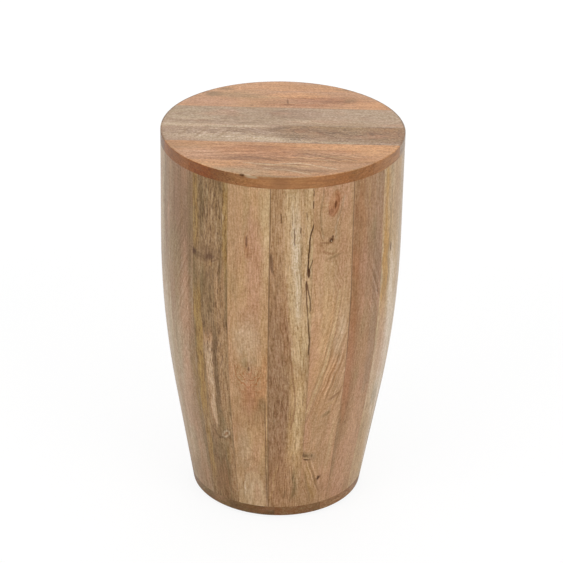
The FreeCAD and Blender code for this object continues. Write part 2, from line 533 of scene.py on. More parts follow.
class Side(Enum):
    """Which side of a knot its arcs lie on, along the grain."""

    BELOW = -1
    ROUND = 0
    ABOVE = 1


@dataclass(frozen=True)
class Ripple(Mark):
    """Nested arcs round a place, between a start and an end told in reaches from it."""

    START_EDGE: ClassVar[Span] = (0.8, 1.2)
    END_EDGE: ClassVar[float] = 0.6
    SIDE_EDGE: ClassVar[Span] = (-0.4, 0.6)
    LINE_EDGE: ClassVar[Span] = (0.42, 0.62)

    tone: Tone
    place: Point
    reach: Point
    strength: float
    start: float
    end: float
    arcs: float
    side: Side = Side.BELOW
    uneven: float = 0.5

    def stain(self, grain: "WoodGrain") -> None:
        """Lays the arcs on the board.

        Args:
            grain: The board's grain.
        """
        distance = grain.distance(self.place, self.reach, uneven=self.uneven)
        begin, begun = (self.start * share for share in self.START_EDGE)
        cover = distance.rising(begin, begun) * distance.falling(self.end * self.END_EDGE, self.end)
        if self.side is not Side.ROUND:
            beyond = (grain.along - self.place[1]) * (float(self.side.value) / self.reach[1])
            cover = cover * beyond.rising(*self.SIDE_EDGE)
        lines = grain.lines(distance * self.arcs).rising(*self.LINE_EDGE)
        grain.lay(lines * cover * self.strength, self.tone)


@dataclass(frozen=True)
class Speckle(Mark):
    """Short dashes of another tone that gather in a rounded patch."""

    DASH_EDGE: ClassVar[Span] = (0.50, 0.66)

    tone: Tone
    place: Point
    reach: Point
    strength: float
    pale: bool = False

    def stain(self, grain: "WoodGrain") -> None:
        """Lays the dashes on the board.

        Args:
            grain: The board's grain.
        """
        cover = grain.distance(self.place, self.reach).falling(*self.FADE)
        dash = 1.0 - grain.dash if self.pale else grain.dash
        grain.lay(dash.rising(*self.DASH_EDGE) * cover * self.strength, self.tone)


@dataclass(frozen=True)
class Knot(Mark):
    """A knot: the growth rings go round it, with a stained halo and a darker core."""

    UNEVEN: ClassVar[float] = 0.9
    HALO_EDGE: ClassVar[Span] = (0.4, 1.5)
    HALO_RINGS: ClassVar[float] = 0.45
    CORE_EDGE: ClassVar[Span] = (0.4, 1.6)

    place: Point
    reach: Point
    flow: Point
    lift: float
    halo: Tone = Tone.CHESTNUT
    core: Tone = Tone.BARK
    halo_strength: float = 0.55
    core_strength: float = 0.8
    core_size: float = 0.42

    def bend(self, grain: "WoodGrain") -> None:
        """Lifts the growth rings round the knot."""
        Swell(self.place, self.flow, self.lift).bend(grain)

    def stain(self, grain: "WoodGrain") -> None:
        """Lays the halo, then the core.

        Args:
            grain: The board's grain.
        """
        distance = grain.distance(self.place, self.reach, uneven=self.UNEVEN)
        ringed = (1.0 - self.HALO_RINGS) + grain.late * self.HALO_RINGS
        grain.lay(distance.falling(*self.HALO_EDGE) * ringed * self.halo_strength, self.halo)
        inner, outer = (self.core_size * share for share in self.CORE_EDGE)
        grain.lay(distance.falling(inner, outer) * self.core_strength, self.core)


@dataclass(frozen=True)
class LacqueredWood:
    """Finish of one sawn board under satin lacquer."""

    name: str
    early: Tone
    late: Tone
    drift: Tone
    sawing: Sawing
    marks: tuple[Mark, ...] = ()
    rings: float = 0.12
    strands: float = 3.2
    fibres: float = 1.6
    mottle: float = 1.1
    drift_strength: float = 0.5
    blush: float = 0.3
    moss: float = 0.25
    flecks: float = 0.35
    pores: float = 0.2
    seed: int = 0
    roughness: float = 0.46
    fibre_roughness: float = 0.22
    cloud_roughness: float = 0.2
    gloss: float = 0.18
    coat: float = 0.36
    coat_roughness: float = 0.12
    relief: float = 0.00012
    bump: float = 0.6


class WoodGrain:
    """The grain of one board as it is painted: its coordinates, rings, colour so far and relief so far."""

    WARP = Noise((0.02, 0.02, 0.0075))
    FIBRE = Noise((0.85, 0.85, 0.055), 3.0, 0.6)
    STRAND = Noise((0.30, 0.30, 0.0075))
    STREAK = Noise((0.09, 0.09, 0.0035), 1.0)
    CLOUD = Noise((0.030, 0.030, 0.0095))
    BLOT = Noise((0.16, 0.16, 0.10), 3.0)
    MOTTLE = Noise((0.50, 0.50, 0.36), 3.0, 0.65)
    DASH = Noise((0.62, 0.62, 0.12), 1.0)
    PORE = Noise((1.8, 1.8, 0.10), 1.0)
    TINT = Noise((0.055, 0.055, 0.014))
    PORE_EDGE: Span = (0.58, 0.70)
    LATE_EDGE: Span = (0.47, 0.66)
    DRIFT_EDGE: Span = (0.40, 0.62)
    BLUSH_EDGE: Span = (0.50, 0.70)
    MOSS_EDGE: Span = (0.32, 0.50)
    FLECK_EDGE: Span = (0.60, 0.72)
    FEATHER_STRANDS, FEATHER_FIBRES = 0.7, 0.5
    RELIEF_FIBRES, RELIEF_PORES, RELIEF_HOLES = 0.5, 0.5, 4.0
    STREAK_SHARE = 0.6
    WANDER_GAP, WANDER_REACH = 26.0, 4.0
    RING_DETAIL, WANDER_DETAIL = 2.0, 2.0
    SHIFT_RANGE = 400.0
    DARKEST_SHADE = 0.05
    RED_POWER, BLUE_POWER = 0.75, 1.5

    def __init__(self, tree: ShaderTree, board: BoardFrame, wood: LacqueredWood) -> None:
        """Sets up a board's coordinates and the noises that all its layers share.

        Args:
            tree: The material's nodes.
            board: Where the board lies.
            wood: The board's finish.
        """
        self.tree = tree
        self.wood = wood
        self.draw = random.Random(wood.seed)
        self.place = tree.place(MILLIMETRES, board.shift, board.turn)
        self.across, self.depth, self.along = tree.parts(self.place)
        sawing = wood.sawing
        bent = self.across + self.noise(self.place, self.WARP).centred() * (2.0 * sawing.warp)
        if sawing.sweep:
            bent = bent - self.along.rising(sawing.sweep_from, sawing.sweep_to) * sawing.sweep
        bent_place = tree.vector(bent, self.depth * board.depth_share, self.along)
        self.fibre = self.noise(bent_place, self.FIBRE)
        self.strand = self.noise(bent_place, self.STRAND)
        self.streak = self.noise(bent_place, self.STREAK)
        self.cloud = self.noise(self.place, self.CLOUD)
        self.blot = self.noise(self.place, self.BLOT)
        self.mottle = self.noise(bent_place, self.MOTTLE)
        self.dash = self.noise(bent_place, self.DASH)
        self.pore = self.noise(bent_place, self.PORE).rising(*self.PORE_EDGE)
        strand, fibre = self.strand.centred(), self.fibre.centred()
        self.feather = strand * self.FEATHER_STRANDS + fibre * self.FEATHER_FIBRES
        wander = self.lines(self.along / self.WANDER_GAP, self.WANDER_DETAIL)
        self.wander = wander.centred() * self.WANDER_REACH
        lifted = self.depth - sawing.pith_depth - self.along * sawing.tilt
        sideways = bent - sawing.pith_across
        self.ring_field = (sideways * sideways + lifted * lifted).root()
        for mark in wood.marks:
            mark.bend(self)
        self.late = self.lines(self.ring_field / sawing.ring_gap, self.RING_DETAIL).rising(*self.LATE_EDGE)
        self.colour = self.ground()
        self.height = fibre * self.RELIEF_FIBRES - self.pore * self.RELIEF_PORES
        self.film: Term = 1.0

    def shift(self) -> Triple:
        """A random place in a noise, drawn from the board's own seed."""
        return tuple(self.draw.uniform(0.0, self.SHIFT_RANGE) for _ in range(3))

    def noise(self, vector: Socket, kind: Noise) -> Value:
        """A noise stretched along the grain, at a random place of its own."""
        return self.tree.noise(vector, kind, self.shift())

    def lines(self, place: Value, detail: float = 1.0) -> Value:
        """A noise along one value, at a random place of its own."""
        return self.tree.line_noise(place + self.shift()[0], detail)

    def distance(self, place: Point, reach: Point, turn: float = 0.0, uneven: float = 0.0) -> Value:
        """How far each point is from a place, where 1 is its reach.

        Args:
            place: The place, (across, along).
            reach: The half sizes, (across, along).
            turn: Degrees that the long axis leans from the grain.
            uneven: How far blots in the wood shift the distance.

        Returns:
            The distance.
        """
        across, along = self.across - place[0], self.along - place[1]
        if turn:
            cosine, sine = math.cos(math.radians(turn)), math.sin(math.radians(turn))
            across, along = across * cosine - along * sine, across * sine + along * cosine
        across, along = across / reach[0], along / reach[1]
        away = (across * across + along * along).root()
        return away + self.blot.centred() * uneven if uneven else away

    def ground(self) -> Socket:
        """Paints the board's own colour: strands of early and late wood, with a slow drift of tone.

        Returns:
            The colour's socket.
        """
        wood = self.wood
        strands = self.strand.centred() * wood.strands
        streaks = self.streak.centred() * (self.STREAK_SHARE * wood.strands)
        late = (strands + streaks + NOISE_MIDDLE).clamped()
        colour = self.tree.colour(late, wood.early, wood.late)
        drift = self.cloud.rising(*self.DRIFT_EDGE) * wood.drift_strength
        return self.tree.colour(drift, colour, wood.drift)

    def lay(self, cover: Value, tone: Tone) -> None:
        """Lays a tone over the colour so far."""
        self.colour = self.tree.colour(cover, self.colour, tone)

    def stain_through(self, cover: Value, tone: Tone) -> None:
        """Darkens the colour so far with a tone that lets the grain show."""
        self.colour = self.tree.colour(cover, self.colour, tone, "MULTIPLY")

    def mark(self, cover: Value, tone: Tone, strength: float, sunk: float) -> None:
        """Lays a mark's tone, and where it is a hole lowers the surface and leaves it bare of lacquer.

        Args:
            cover: Where the mark is.
            tone: Its tone.
            strength: How much of the tone shows.
            sunk: How far it is a hole, from 0 to 1.
        """
        self.lay(cover * strength, tone)
        if sunk:
            hole = cover * sunk
            self.height = self.height - hole * self.RELIEF_HOLES
            self.film = (1.0 - hole) * self.film

    def shade(self, level: Value) -> None:
        """Makes the colour so far paler above 1, and darker and warmer below 1.

        Args:
            level: The shade.
        """
        level = level.most(self.DARKEST_SHADE)
        warm = self.tree.node("ShaderNodeCombineColor", None, {
            0: level ** self.RED_POWER, 1: level, 2: level ** self.BLUE_POWER})
        self.colour = self.tree.colour(1.0, self.colour, warm.outputs[0], "MULTIPLY")

    def finish_off(self) -> None:
        """Adds tints, growth rings, fibres, flecks and pores over everything."""
        wood = self.wood
        tint = self.noise(self.place, self.TINT)
        self.lay(tint.rising(*self.BLUSH_EDGE) * wood.blush, Tone.BLUSH)
        self.lay(tint.falling(*self.MOSS_EDGE) * wood.moss, Tone.MOSS)
        fibres = self.fibre.centred() * wood.fibres
        self.shade(1.0 - self.late * wood.rings + fibres + self.mottle.centred() * wood.mottle)
        self.lay(self.dash.rising(*self.FLECK_EDGE) * wood.flecks, Tone.BARK)
        self.lay(self.pore * wood.pores, Tone.BARK)


def lacquer(board: BoardFrame, wood: LacqueredWood, seams: "Seams") -> bpy.types.Material:
    """Makes the material of one lacquered board.

    Args:
        board: Where the board lies.
        wood: The board's finish.
        seams: The glue lines at its edges.

    Returns:
        The material.
    """
    material = bpy.data.materials.new(wood.name)
    tree = ShaderTree(material)
    grain = WoodGrain(tree, board, wood)
    for mark in wood.marks:
        mark.stain(grain)
    grain.finish_off()
    seams.draw(grain)
    roughness = grain.fibre.centred() * wood.fibre_roughness + grain.cloud.centred() * wood.cloud_roughness
    bump = tree.node("ShaderNodeBump", None, {
        "Strength": wood.bump, "Distance": wood.relief, "Height": grain.height})
    tree.show(tree.node("ShaderNodeBsdfPrincipled", None, {
        "Base Color": grain.colour, "Roughness": roughness + wood.roughness, "Specular IOR Level": wood.gloss,
        "Coat Weight": grain.film * wood.coat, "Coat Roughness": wood.coat_roughness,
        "Normal": bump.outputs[0]}))
    return material


@dataclass(frozen=True)
class StaveSeams:
    """Glue lines down both edges of a stave, fine and broken, or open from a height upwards."""

    half_angle: float
    drum_radius: float
    open_left: float | None
    open_right: float | None
    width: float = 0.7
    strength: float = 0.5
    broken: Span = (0.40, 0.62)
    open_width: float = 1.3
    open_strength: float = 0.7
    open_fade: float = 60.0
    open_ragged: float = 1.2

    def draw(self, grain: WoodGrain) -> None:
        """Darkens the stave's two edges where the glue line shows, and more where it is open.

        Args:
            grain: The stave's grain.
        """
        to_axis = self.drum_radius - grain.depth
        radius = (grain.across * grain.across + to_axis * to_axis).root()
        half = radius * math.sin(self.half_angle)
        line = (half - abs(grain.across)).falling(0.0, self.width)
        grain.lay(line * grain.cloud.rising(*self.broken) * self.strength, Tone.BARK)
        for start, side in ((self.open_left, 1.0), (self.open_right, -1.0)):
            if start is not None:
                edge = half + grain.across * side + grain.feather * self.open_ragged
                above = grain.along.rising(start - self.open_fade, start + self.open_fade)
                grain.lay(edge.falling(0.0, self.open_width) * above * self.open_strength, Tone.DUSK)


@dataclass(frozen=True)
class RimMark:
    """A stretch of a board's rim in another tone, stained through or laid on."""

    RAGGED: ClassVar[float] = 2.0
    DEEP_FADE: ClassVar[float] = 0.6

    tone: Tone
    start: float
    end: float
    strength: float
    through: bool = True
    blend: float = 22.0
    deep: float | None = None

    def stain(self, grain: WoodGrain, rim: Value) -> None:
        """Puts the tone on the rim from start to end.

        Args:
            grain: The board's grain.
            rim: 1 on the rim, 0 on the face.
        """
        span = grain.along + grain.feather * (self.RAGGED * self.blend)
        begun = span.rising(self.start - self.blend, self.start + self.blend)
        cover = rim * begun * span.falling(self.end - self.blend, self.end + self.blend) * self.strength
        if self.deep is not None:
            cover = cover * abs(grain.depth).falling(self.DEEP_FADE * self.deep, self.deep)
        if self.through:
            grain.stain_through(cover, self.tone)
        else:
            grain.lay(cover, self.tone)


@dataclass(frozen=True)
class BoardSeams:
    """Glue lines along both edges of a flat board, a darker tone on the round rim, and, where a line strength
    is given, painted shade along the face's round edge.
    """

    BROKEN: ClassVar[Span] = (0.36, 0.6)
    UPRIGHT: ClassVar[Span] = (0.3, 0.9)
    RIM_NOISE: ClassVar[Noise] = Noise((0.05, 0.32, 0.03))
    RIM_EDGE: ClassVar[Span] = (0.5, 0.62)

    low: float
    high: float
    width: float = 0.7
    strength: float = 0.45
    rim: Tone = Tone.RIM_TONE
    rim_strength: float = 1.0
    rim_marks: tuple[RimMark, ...] = ()
    rim_figure: float = 0.45
    # line: strength of a painted shade on the face near its round edge, between radii line_from and line_to
    line: float = 0.0
    line_from: float = 148.4
    line_to: float = 150.0

    def draw(self, grain: WoodGrain) -> None:
        """Darkens the two edges and the upright rim, and paints shade on the eased edge between rim and face.

        Args:
            grain: The board's grain.
        """
        edge = (grain.across - self.low).least(self.high - grain.across)
        broken = grain.cloud.rising(*self.BROKEN)
        grain.lay(edge.falling(0.0, self.width) * broken * self.strength, Tone.BARK)
        normal = grain.tree.parts(grain.tree.node("ShaderNodeNewGeometry").outputs["Normal"])
        rim = abs(normal[2]).falling(*self.UPRIGHT)
        # Makes every upright face of the rim darker and warmer, all round
        grain.stain_through(rim * self.rim_strength, self.rim)
        for mark in self.rim_marks:
            mark.stain(grain, rim)
        figure = grain.noise(grain.place, self.RIM_NOISE)
        grain.lay(rim * figure.rising(*self.RIM_EDGE) * self.rim_figure, Tone.CHESTNUT)
        # Painted shade: a dark line on the face along its eased round edge
        if self.line:
            radius = (grain.across * grain.across + grain.along * grain.along).root()
            grain.lay(radius.rising(self.line_from, self.line_to) * self.line, Tone.DUSK)


Seams = Union[StaveSeams, BoardSeams]


# Finishes of the staves that face the camera: from the front one to the right, then to the left
VISIBLE_STAVES: dict[int, LacqueredWood] = {
    1: LacqueredWood("stave_01_cream_heartwood", Tone.TAN, Tone.FAWN, Tone.ROSE,
                     Sawing(-60, 40, 0.02, 4.0, 3.0, -20, 80, 460), (
        Patch(Tone.PLUM, (-17, 200), (16, 140), 0.55, 0.5),
        Patch(Tone.PLUM, (-1, 165), (8, 45), 0.3, 0.4),
        Patch(Tone.RUSSET, (-8, 60), (18, 50), 0.35),
        Speckle(Tone.CHESTNUT, (-12, 190), (20, 150), 0.6),
        Streak(Tone.RUSSET, (2, 232), (-12, 316), 4, 3, 0.5, soft=4, fade=24),
        Streak(Tone.STRAW, (11, 60), (13, 260), 19, 18, 0.75, soft=8, fade=50),
        Streak(Tone.CREAM, (13, 95), (14, 230), 10, 12, 0.75, soft=8, fade=40),
        Streak(Tone.CREAM, (15, 225), (4, 395), 17, 20, 0.85, soft=7, fade=40),
        Streak(Tone.CREAM, (5, 350), (-3, 520), 20, 17, 0.65, soft=9, fade=40),
        Streak(Tone.PEARL, (11, 290), (1, 480), 8, 10, 0.8, soft=7, fade=40),
        Streak(Tone.MILK, (5, 350), (1, 440), 5, 6, 0.35, soft=5, fade=30),
        Streak(Tone.CREAM, (21, 240), (19, 520), 10, 12, 0.6, soft=7),
        Streak(Tone.OLIVE, (14, 290), (11, 440), 2.5, 2, 0.45, soft=3, fade=60),
        Streak(Tone.FAWN, (-20, 380), (-21, 520), 11, 13, 0.6, soft=7, fade=40),
        Streak(Tone.MAUVE, (-16, 330), (-13, 410), 8, 5, 0.5, soft=6),
        Vein(((5.5, 145), (9.2, 178), (9.2, 195), (5.1, 228), (2.3, 261), (-4.6, 294), (-10.8, 327)), 2.4,
             Tone.CHESTNUT, 0.5),
        Crack(((26.6, 438), (22.2, 421), (20.9, 391), (20.6, 374)), 1.7, strength=0.95),
        Patch(Tone.PITCH, (21.3, 373), (2.0, 7), 0.95, 0.3, 0.6, sunk=0.8),
        Streak(Tone.CREAM, (24.2, 372), (25.0, 412), 2.2, 2.2, 0.7, soft=1.5, fade=12, ragged=2),
        Crack(((26.2, 391), (22.4, 374)), 1.4),
        Crack(((18.6, 362), (19.4, 341), (22.3, 311), (24.3, 275), (24.3, 258)), 1.5),
        Patch(Tone.PITCH, (18.9, 356), (1.2, 6), 0.85, 0.3, 0.6, sunk=0.8),
        Streak(Tone.CREAM, (23.4, 300), (21.8, 342), 1.8, 1.8, 0.6, soft=1.5, fade=12, ragged=2),
        Crack(((19.6, 358), (24.6, 333), (24.2, 319)), 1.3),
        Crack(((3.1, 434), (3.3, 412)), 1.4, Tone.BARK, 0.7),
        Crack(((-13.4, 453), (-12.8, 440)), 1.5, Tone.BARK, 0.7),
        Crack(((17.8, 454), (17.9, 444)), 1.3, Tone.DUSK, 0.7),
        Crack(((25.6, 482), (25.8, 474)), 1.4, Tone.BARK, 0.8),
        Crack(((25.5, 468), (25.6, 458)), 1.4, Tone.BARK, 0.8),
        Crack(((10.6, 434), (10.9, 426)), 1.4, Tone.BARK, 0.7),
        Streak(Tone.BARK, (-20.5, 366), (-25.5, 402), 2.5, 4, 0.7, soft=2, fade=10, ragged=3),
        Streak(Tone.OLIVE, (10, 22), (14, 88), 5, 4, 0.65, soft=4, fade=16, ragged=6),
        Streak(Tone.DUSK, (0, 28), (1, 52), 3, 2, 0.5, soft=3, fade=10, ragged=5),
        Streak(Tone.STRAW, (-19, 25), (-9, 92), 2.5, 2, 0.45, soft=2, fade=14, ragged=4),
    ), rings=0.06, strands=2.2, fibres=2.1, mottle=1.4, flecks=0.3, blush=0.15, moss=0.15, seed=1),
    2: LacqueredWood("stave_02_eye_knot", Tone.PEACH, Tone.TAN, Tone.BLUSH,
                     Sawing(30, 34, 0.03, 3.4, 3.0, 34, 140, 350), (
        Swell((-1, 460), (17, 46), 42),
        Patch(Tone.CREAM, (-10, 315), (15, 85), 0.75),
        Patch(Tone.CREAM, (18, 300), (10, 60), 0.35),
        Patch(Tone.PEACH, (16, 200), (10, 50), 0.5),
        Patch(Tone.PEACH, (14, 115), (10, 40), 0.5),
        Patch(Tone.GLOW, (-6, 262), (18, 90), 0.28),
        Patch(Tone.FAWN, (-3, 430), (14, 34), 0.35),
        Patch(Tone.FAWN, (2, 366), (14, 30), 0.4),
        Patch(Tone.FAWN, (12, 150), (14, 50), 0.4),
        Patch(Tone.UMBER, (-6, 36), (22, 26), 0.35),
        Feather((9, 372), (12, 40), -20, 2.2, 0.14),
        Feather((9, 240), (19, 80), 18, 3.6, 0.4),
        Feather((9, 170), (17, 18), 62, 5.0, 0.25),
        Feather((-8, 60), (15, 44), -19, 3.6, 0.4),
        Vein(((-14.5, 482), (-18.3, 450), (-17.2, 432), (-13.0, 416)), 2.2, Tone.OLIVE, 0.5, 0.5, 2.0),
        Vein(((12.5, 470), (9.6, 455), (4.5, 440.5), (2.0, 429), (3.0, 414)), 2.8, Tone.ASH, 0.6, 0.5, 2.2),
        Vein(((9.8, 461), (7.0, 448), (2.4, 438), (-0.4, 426)), 1.6, Tone.UMBER, 0.45, 0.5, 1.6),
        Vein(((13.6, 452), (8.2, 436), (6.0, 420)), 1.6, Tone.UMBER, 0.45, 0.5, 1.6),
        Patch(Tone.RUSSET, (-10.5, 398), (1.4, 9), 0.5, 0.6, 0.5, 112),
        Patch(Tone.OLIVE, (2.0, 391), (1.4, 10), 0.45, 0.6, 0.5, 76),
        Ripple(Tone.RUSSET, (-3, 418), (8, 12), 0.4, 1.1, 3.2, 2.0),
        Patch(Tone.SIENNA, (-0.6, 462), (7.6, 17), 0.68, 0.16, 0.3, 9),
        Patch(Tone.PEACH, (-3.6, 467), (3.6, 9), 0.5, 0.5, 0.4, 9),
        Patch(Tone.RUST, (3.4, 461), (1.5, 10), 0.4, 0.5, 0.4, 6),
        Patch(Tone.RUST, (-4.4, 451.5), (3.2, 4.4), 0.6, 0.5, 0.5, 40),
        Vein(((0.6, 476), (5.0, 468.5), (6.2, 462), (5.1, 455.5), (2.6, 451), (-2.9, 445)), 1.4, Tone.RUST,
             0.6, 0.2, 1.2),
        Vein(((-2.9, 445), (-7.2, 448.4), (-7.9, 454)), 1.4, Tone.RUST, 0.5, 0.2, 1.2),
        Patch(Tone.EMBER, (0.7, 460), (1.6, 6), 0.95, 0.4, 0.4, 4, sunk=0.5),
        Patch(Tone.PITCH, (0.8, 459), (0.7, 2.8), 0.5, 0.5, 0.4, 4, sunk=0.5),
        Patch(Tone.CREAM, (-11.5, 461), (1.0, 4), 0.6, 0.5, 0.4, 92),
        Patch(Tone.CHESTNUT, (-3.7, 414), (4.0, 5), 0.6, 0.5, 0.9),
        Patch(Tone.BARK, (-3.7, 413.5), (2.2, 3.2), 0.95, 0.4, 0.9, 20, sunk=0.6),
        # Painted highlight: a tiny pale glint at the centre of the sunk knot
        Patch(Tone.MILK, (-3.5, 412.2), (0.6, 0.8), 0.9, 0.3, 0.2),
        Patch(Tone.BARK, (-1.6, 418.0), (1.4, 1.6), 0.8, 0.4, 0.6, sunk=0.6),
        Crack(((-20, 430), (-15.0, 414.0)), 1.8, Tone.CHESTNUT, 0.5),
        Patch(Tone.CHESTNUT, (-10.6, 411.0), (1.2, 6.5), 0.6, 0.5, 0.5, 98),
        Vein(((-26, 158), (-5, 238), (4.4, 288), (10.6, 344)), 3.2, Tone.CREAM, 0.75, 0.5, 2.2),
        Vein(((-28, 164), (-8, 240), (1.4, 290), (7.6, 346)), 1.5, Tone.UMBER, 0.45, 0.5, 1.6),
        Vein(((-23, 154), (-2, 234), (7.4, 284), (13.6, 338)), 1.5, Tone.UMBER, 0.55, 0.5, 1.6),
        Streak(Tone.PEARL, (10, 230), (17, 330), 9, 13, 0.4, soft=8),
        Streak(Tone.UMBER, (-6, 158), (19, 262), 1.8, 1.8, 0.5, soft=2, ragged=3, wander=0.8),
        Streak(Tone.UMBER, (2, 168), (21, 246), 1.6, 1.6, 0.45, soft=2, ragged=3, wander=0.8),
        Streak(Tone.BLUSH, (-18, 220), (-18, 420), 10, 14, 0.35, soft=6),
        Patch(Tone.CHESTNUT, (13, 189), (1.8, 9), 0.7, 0.6, 0.6, 60),
        Patch(Tone.STRAW, (10.5, 180), (1.8, 10), 0.6, 0.5, 0.5, 66),
        Patch(Tone.OLIVE, (4, 164), (3, 8), 0.5, 0.6, 0.6, 60),
        Patch(Tone.OLIVE, (-17, 101), (4.5, 8), 0.45, 0.6, 0.8, 112),
        Patch(Tone.DUSK, (-18.6, 100.4), (2.2, 4.6), 0.65, 0.6, 0.9, 116),
        Patch(Tone.DUSK, (-20.8, 104.0), (1.2, 4.0), 0.5, 0.6, 0.6),
        Patch(Tone.CHESTNUT, (-13.6, 93.4), (0.9, 6.0), 0.55, 0.5, 0.5, 96),
        Patch(Tone.BARK, (-16.6, 94.0), (1.1, 3.6), 0.9, 0.5, 0.5, 104, sunk=0.5),
        Patch(Tone.CREAM, (-16.6, 96.6), (0.8, 4.6), 0.6, 0.4, 0.4, 104),
        Patch(Tone.MAUVE, (-8, 97), (4.0, 6), 0.5, 0.6, 0.6),
        Patch(Tone.DUSK, (-9.8, 99.4), (1.3, 2.2), 0.65, 0.5, 0.6, sunk=0.3),
        Streak(Tone.OCHRE, (1, 16), (-18, 92), 10, 6, 0.5, soft=5, fade=20),
        Streak(Tone.OLIVE, (-4, 16), (-20, 86), 3, 2, 0.45, soft=3, fade=20, ragged=6),
        Streak(Tone.STRAW, (6, 22), (-14, 90), 2.5, 2, 0.4, soft=3, fade=20, ragged=6),
        Streak(Tone.OLIVE, (10, 22), (-11, 86), 2, 1.5, 0.35, soft=3, fade=20, ragged=6),
        Streak(Tone.PEACH, (11, 40), (17, 200), 8, 10, 0.8, soft=6, fade=40),
        Streak(Tone.CREAM, (13, 60), (17, 170), 3, 4, 0.5, soft=4, fade=40),
        Patch(Tone.CHESTNUT, (3.6, 60.5), (3.2, 5.0), 0.6, 0.5, 0.8, 30),
        Patch(Tone.BARK, (3.8, 60.4), (1.8, 3.2), 0.95, 0.4, 0.8, 30, sunk=0.7),
    ), rings=0.12, strands=1.0, fibres=0.9, mottle=1.4, flecks=0.05, blush=0.25, moss=0.2, seed=2),
    3: LacqueredWood("stave_03_russet", Tone.TAN, Tone.ROSE, Tone.BLUSH, Sawing(50, 40, 0.05, 4.5, 4.0), (
        Streak(Tone.RUSSET, (-17, 90), (-19, 520), 18, 18, 0.6, soft=14, fade=80),
        Streak(Tone.SIENNA, (-19, 120), (-21, 420), 10, 9, 0.4, soft=8, fade=60),
        Patch(Tone.SIENNA, (-6, 450), (12, 46), 0.3),
        Streak(Tone.MAUVE, (17, 160), (18, 510), 14, 18, 0.6, soft=10),
        Streak(Tone.MAUVE, (2, 390), (0, 510), 14, 18, 0.5, soft=8),
        Patch(Tone.PLUM, (10, 366), (18, 40), 0.4),
        Streak(Tone.STRAW, (4, 420), (-6, 500), 4, 3, 0.5, soft=4),
        Streak(Tone.MOSS, (8, 370), (10, 450), 7, 5, 0.4, soft=6),
        Feather((14, 330), (15, 60), -24, 4.0, 0.25),
        Feather((-2, 60), (18, 46), 26, 4.4, 0.22),
        Patch(Tone.PEACH, (8, 110), (16, 70), 0.5),
        Streak(Tone.UMBER, (-19, 30), (-22, 190), 5, 4, 0.45, soft=4),
        Patch(Tone.DUSK, (20.5, 322), (0.9, 5), 0.5, 0.5, 0.4, -40),
    ), rings=0.1, strands=1.3, fibres=1.1, mottle=1.5, flecks=0.1, blush=0.35, seed=3),
    4: LacqueredWood("stave_04_ochre_and_cream", Tone.CREAM, Tone.STRAW, Tone.PEARL,
                     Sawing(-60, 40, 0.02, 6.0, 3.0), (
        Streak(Tone.TAN, (10, 370), (12, 520), 26, 30, 0.5, soft=10, fade=50),
        Streak(Tone.HONEY, (-17, 270), (-16, 430), 13, 15, 0.85, soft=6, fade=50),
        Streak(Tone.STRAW, (-16, 380), (-16, 520), 15, 15, 0.6, soft=6, fade=50),
        Streak(Tone.HONEY, (-18, 350), (-17, 520), 7, 6, 0.6, soft=5, fade=50),
        Speckle(Tone.OCHRE, (-16, 380), (12, 110), 0.5),
        Streak(Tone.OLIVE, (-8, 300), (-8, 520), 3, 4, 0.4, soft=5),
        Streak(Tone.MILK, (9, 120), (3, 384), 36, 8, 0.95, soft=9, fade=40),
        Streak(Tone.MILK, (18, 20), (20, 330), 14, 16, 0.7, soft=9, fade=60),
        Patch(Tone.BARK, (-3.0, 372), (1.8, 5.5), 0.7, 0.5, 0.8, 6, sunk=0.3),
        Streak(Tone.PEACH, (-18, 150), (-16, 320), 14, 10, 0.6, soft=8),
        Patch(Tone.PEARL, (-16, 196), (12, 46), 0.6),
        Patch(Tone.BLUSH, (-8, 230), (12, 40), 0.4),
        Patch(Tone.TAN, (-12, 80), (14, 80), 0.5),
        Patch(Tone.MOSS, (2, 155), (9, 14), 0.4),
        Patch(Tone.BLUSH, (6, 195), (10, 16), 0.3),
    ), strands=1.4, fibres=1.1, mottle=1.4, flecks=0.1, blush=0.15, seed=4),
    5: LacqueredWood("stave_05_pearl", Tone.PEARL, Tone.ASH, Tone.CREAM, Sawing(20, 50, 0.04, 6.0), (
        Patch(Tone.MILK, (-8, 260), (16, 110), 0.5),
        Streak(Tone.FAWN, (8, 40), (4, 260), 9, 14, 0.5, soft=8, fade=50),
        Streak(Tone.MAUVE, (14, 250), (16, 470), 12, 8, 0.5, soft=8, fade=50),
        Streak(Tone.TAN, (-20, 330), (-18, 520), 9, 9, 0.4, soft=8),
    ), strands=1.6, fibres=1.2, mottle=1.4, flecks=0.15, blush=0.3, seed=5),
    18: LacqueredWood("stave_18_pitted_tan", Tone.PEACH, Tone.TAN, Tone.STRAW,
                      Sawing(2, 36, 0.05, 4.2, 3.0), (
        Patch(Tone.MOSS, (-1.5, 432), (6, 46), 0.35),
        Streak(Tone.FAWN, (-17, 300), (-18, 520), 9, 10, 0.4, soft=8),
        Patch(Tone.BLUSH, (7, 390), (11, 60), 0.7),
        Patch(Tone.BLUSH, (4, 310), (14, 34), 0.4),
        Streak(Tone.CREAM, (22, 330), (21, 520), 7, 15, 0.75, soft=7, fade=60),
        Patch(Tone.SIENNA, (-1.8, 409), (3.0, 17), 0.45),
        Patch(Tone.BARK, (-1.9, 413), (1.4, 9), 0.9, 0.3, 0.6, sunk=0.8),
        Streak(Tone.STRAW, (20, 230), (20, 350), 9, 7, 0.45, soft=6),
        Swell((0, 237), (15, 34), 40),
        Patch(Tone.MOSS, (0.5, 243), (8, 13), 0.5),
        Patch(Tone.FAWN, (2, 215), (16, 26), 0.4),
        Patch(Tone.SIENNA, (4, 208), (8, 12), 0.35),
        Ripple(Tone.SIENNA, (0.5, 240), (6, 10), 0.85, 0.9, 5.2, 3.4, Side.BELOW, 2.2),
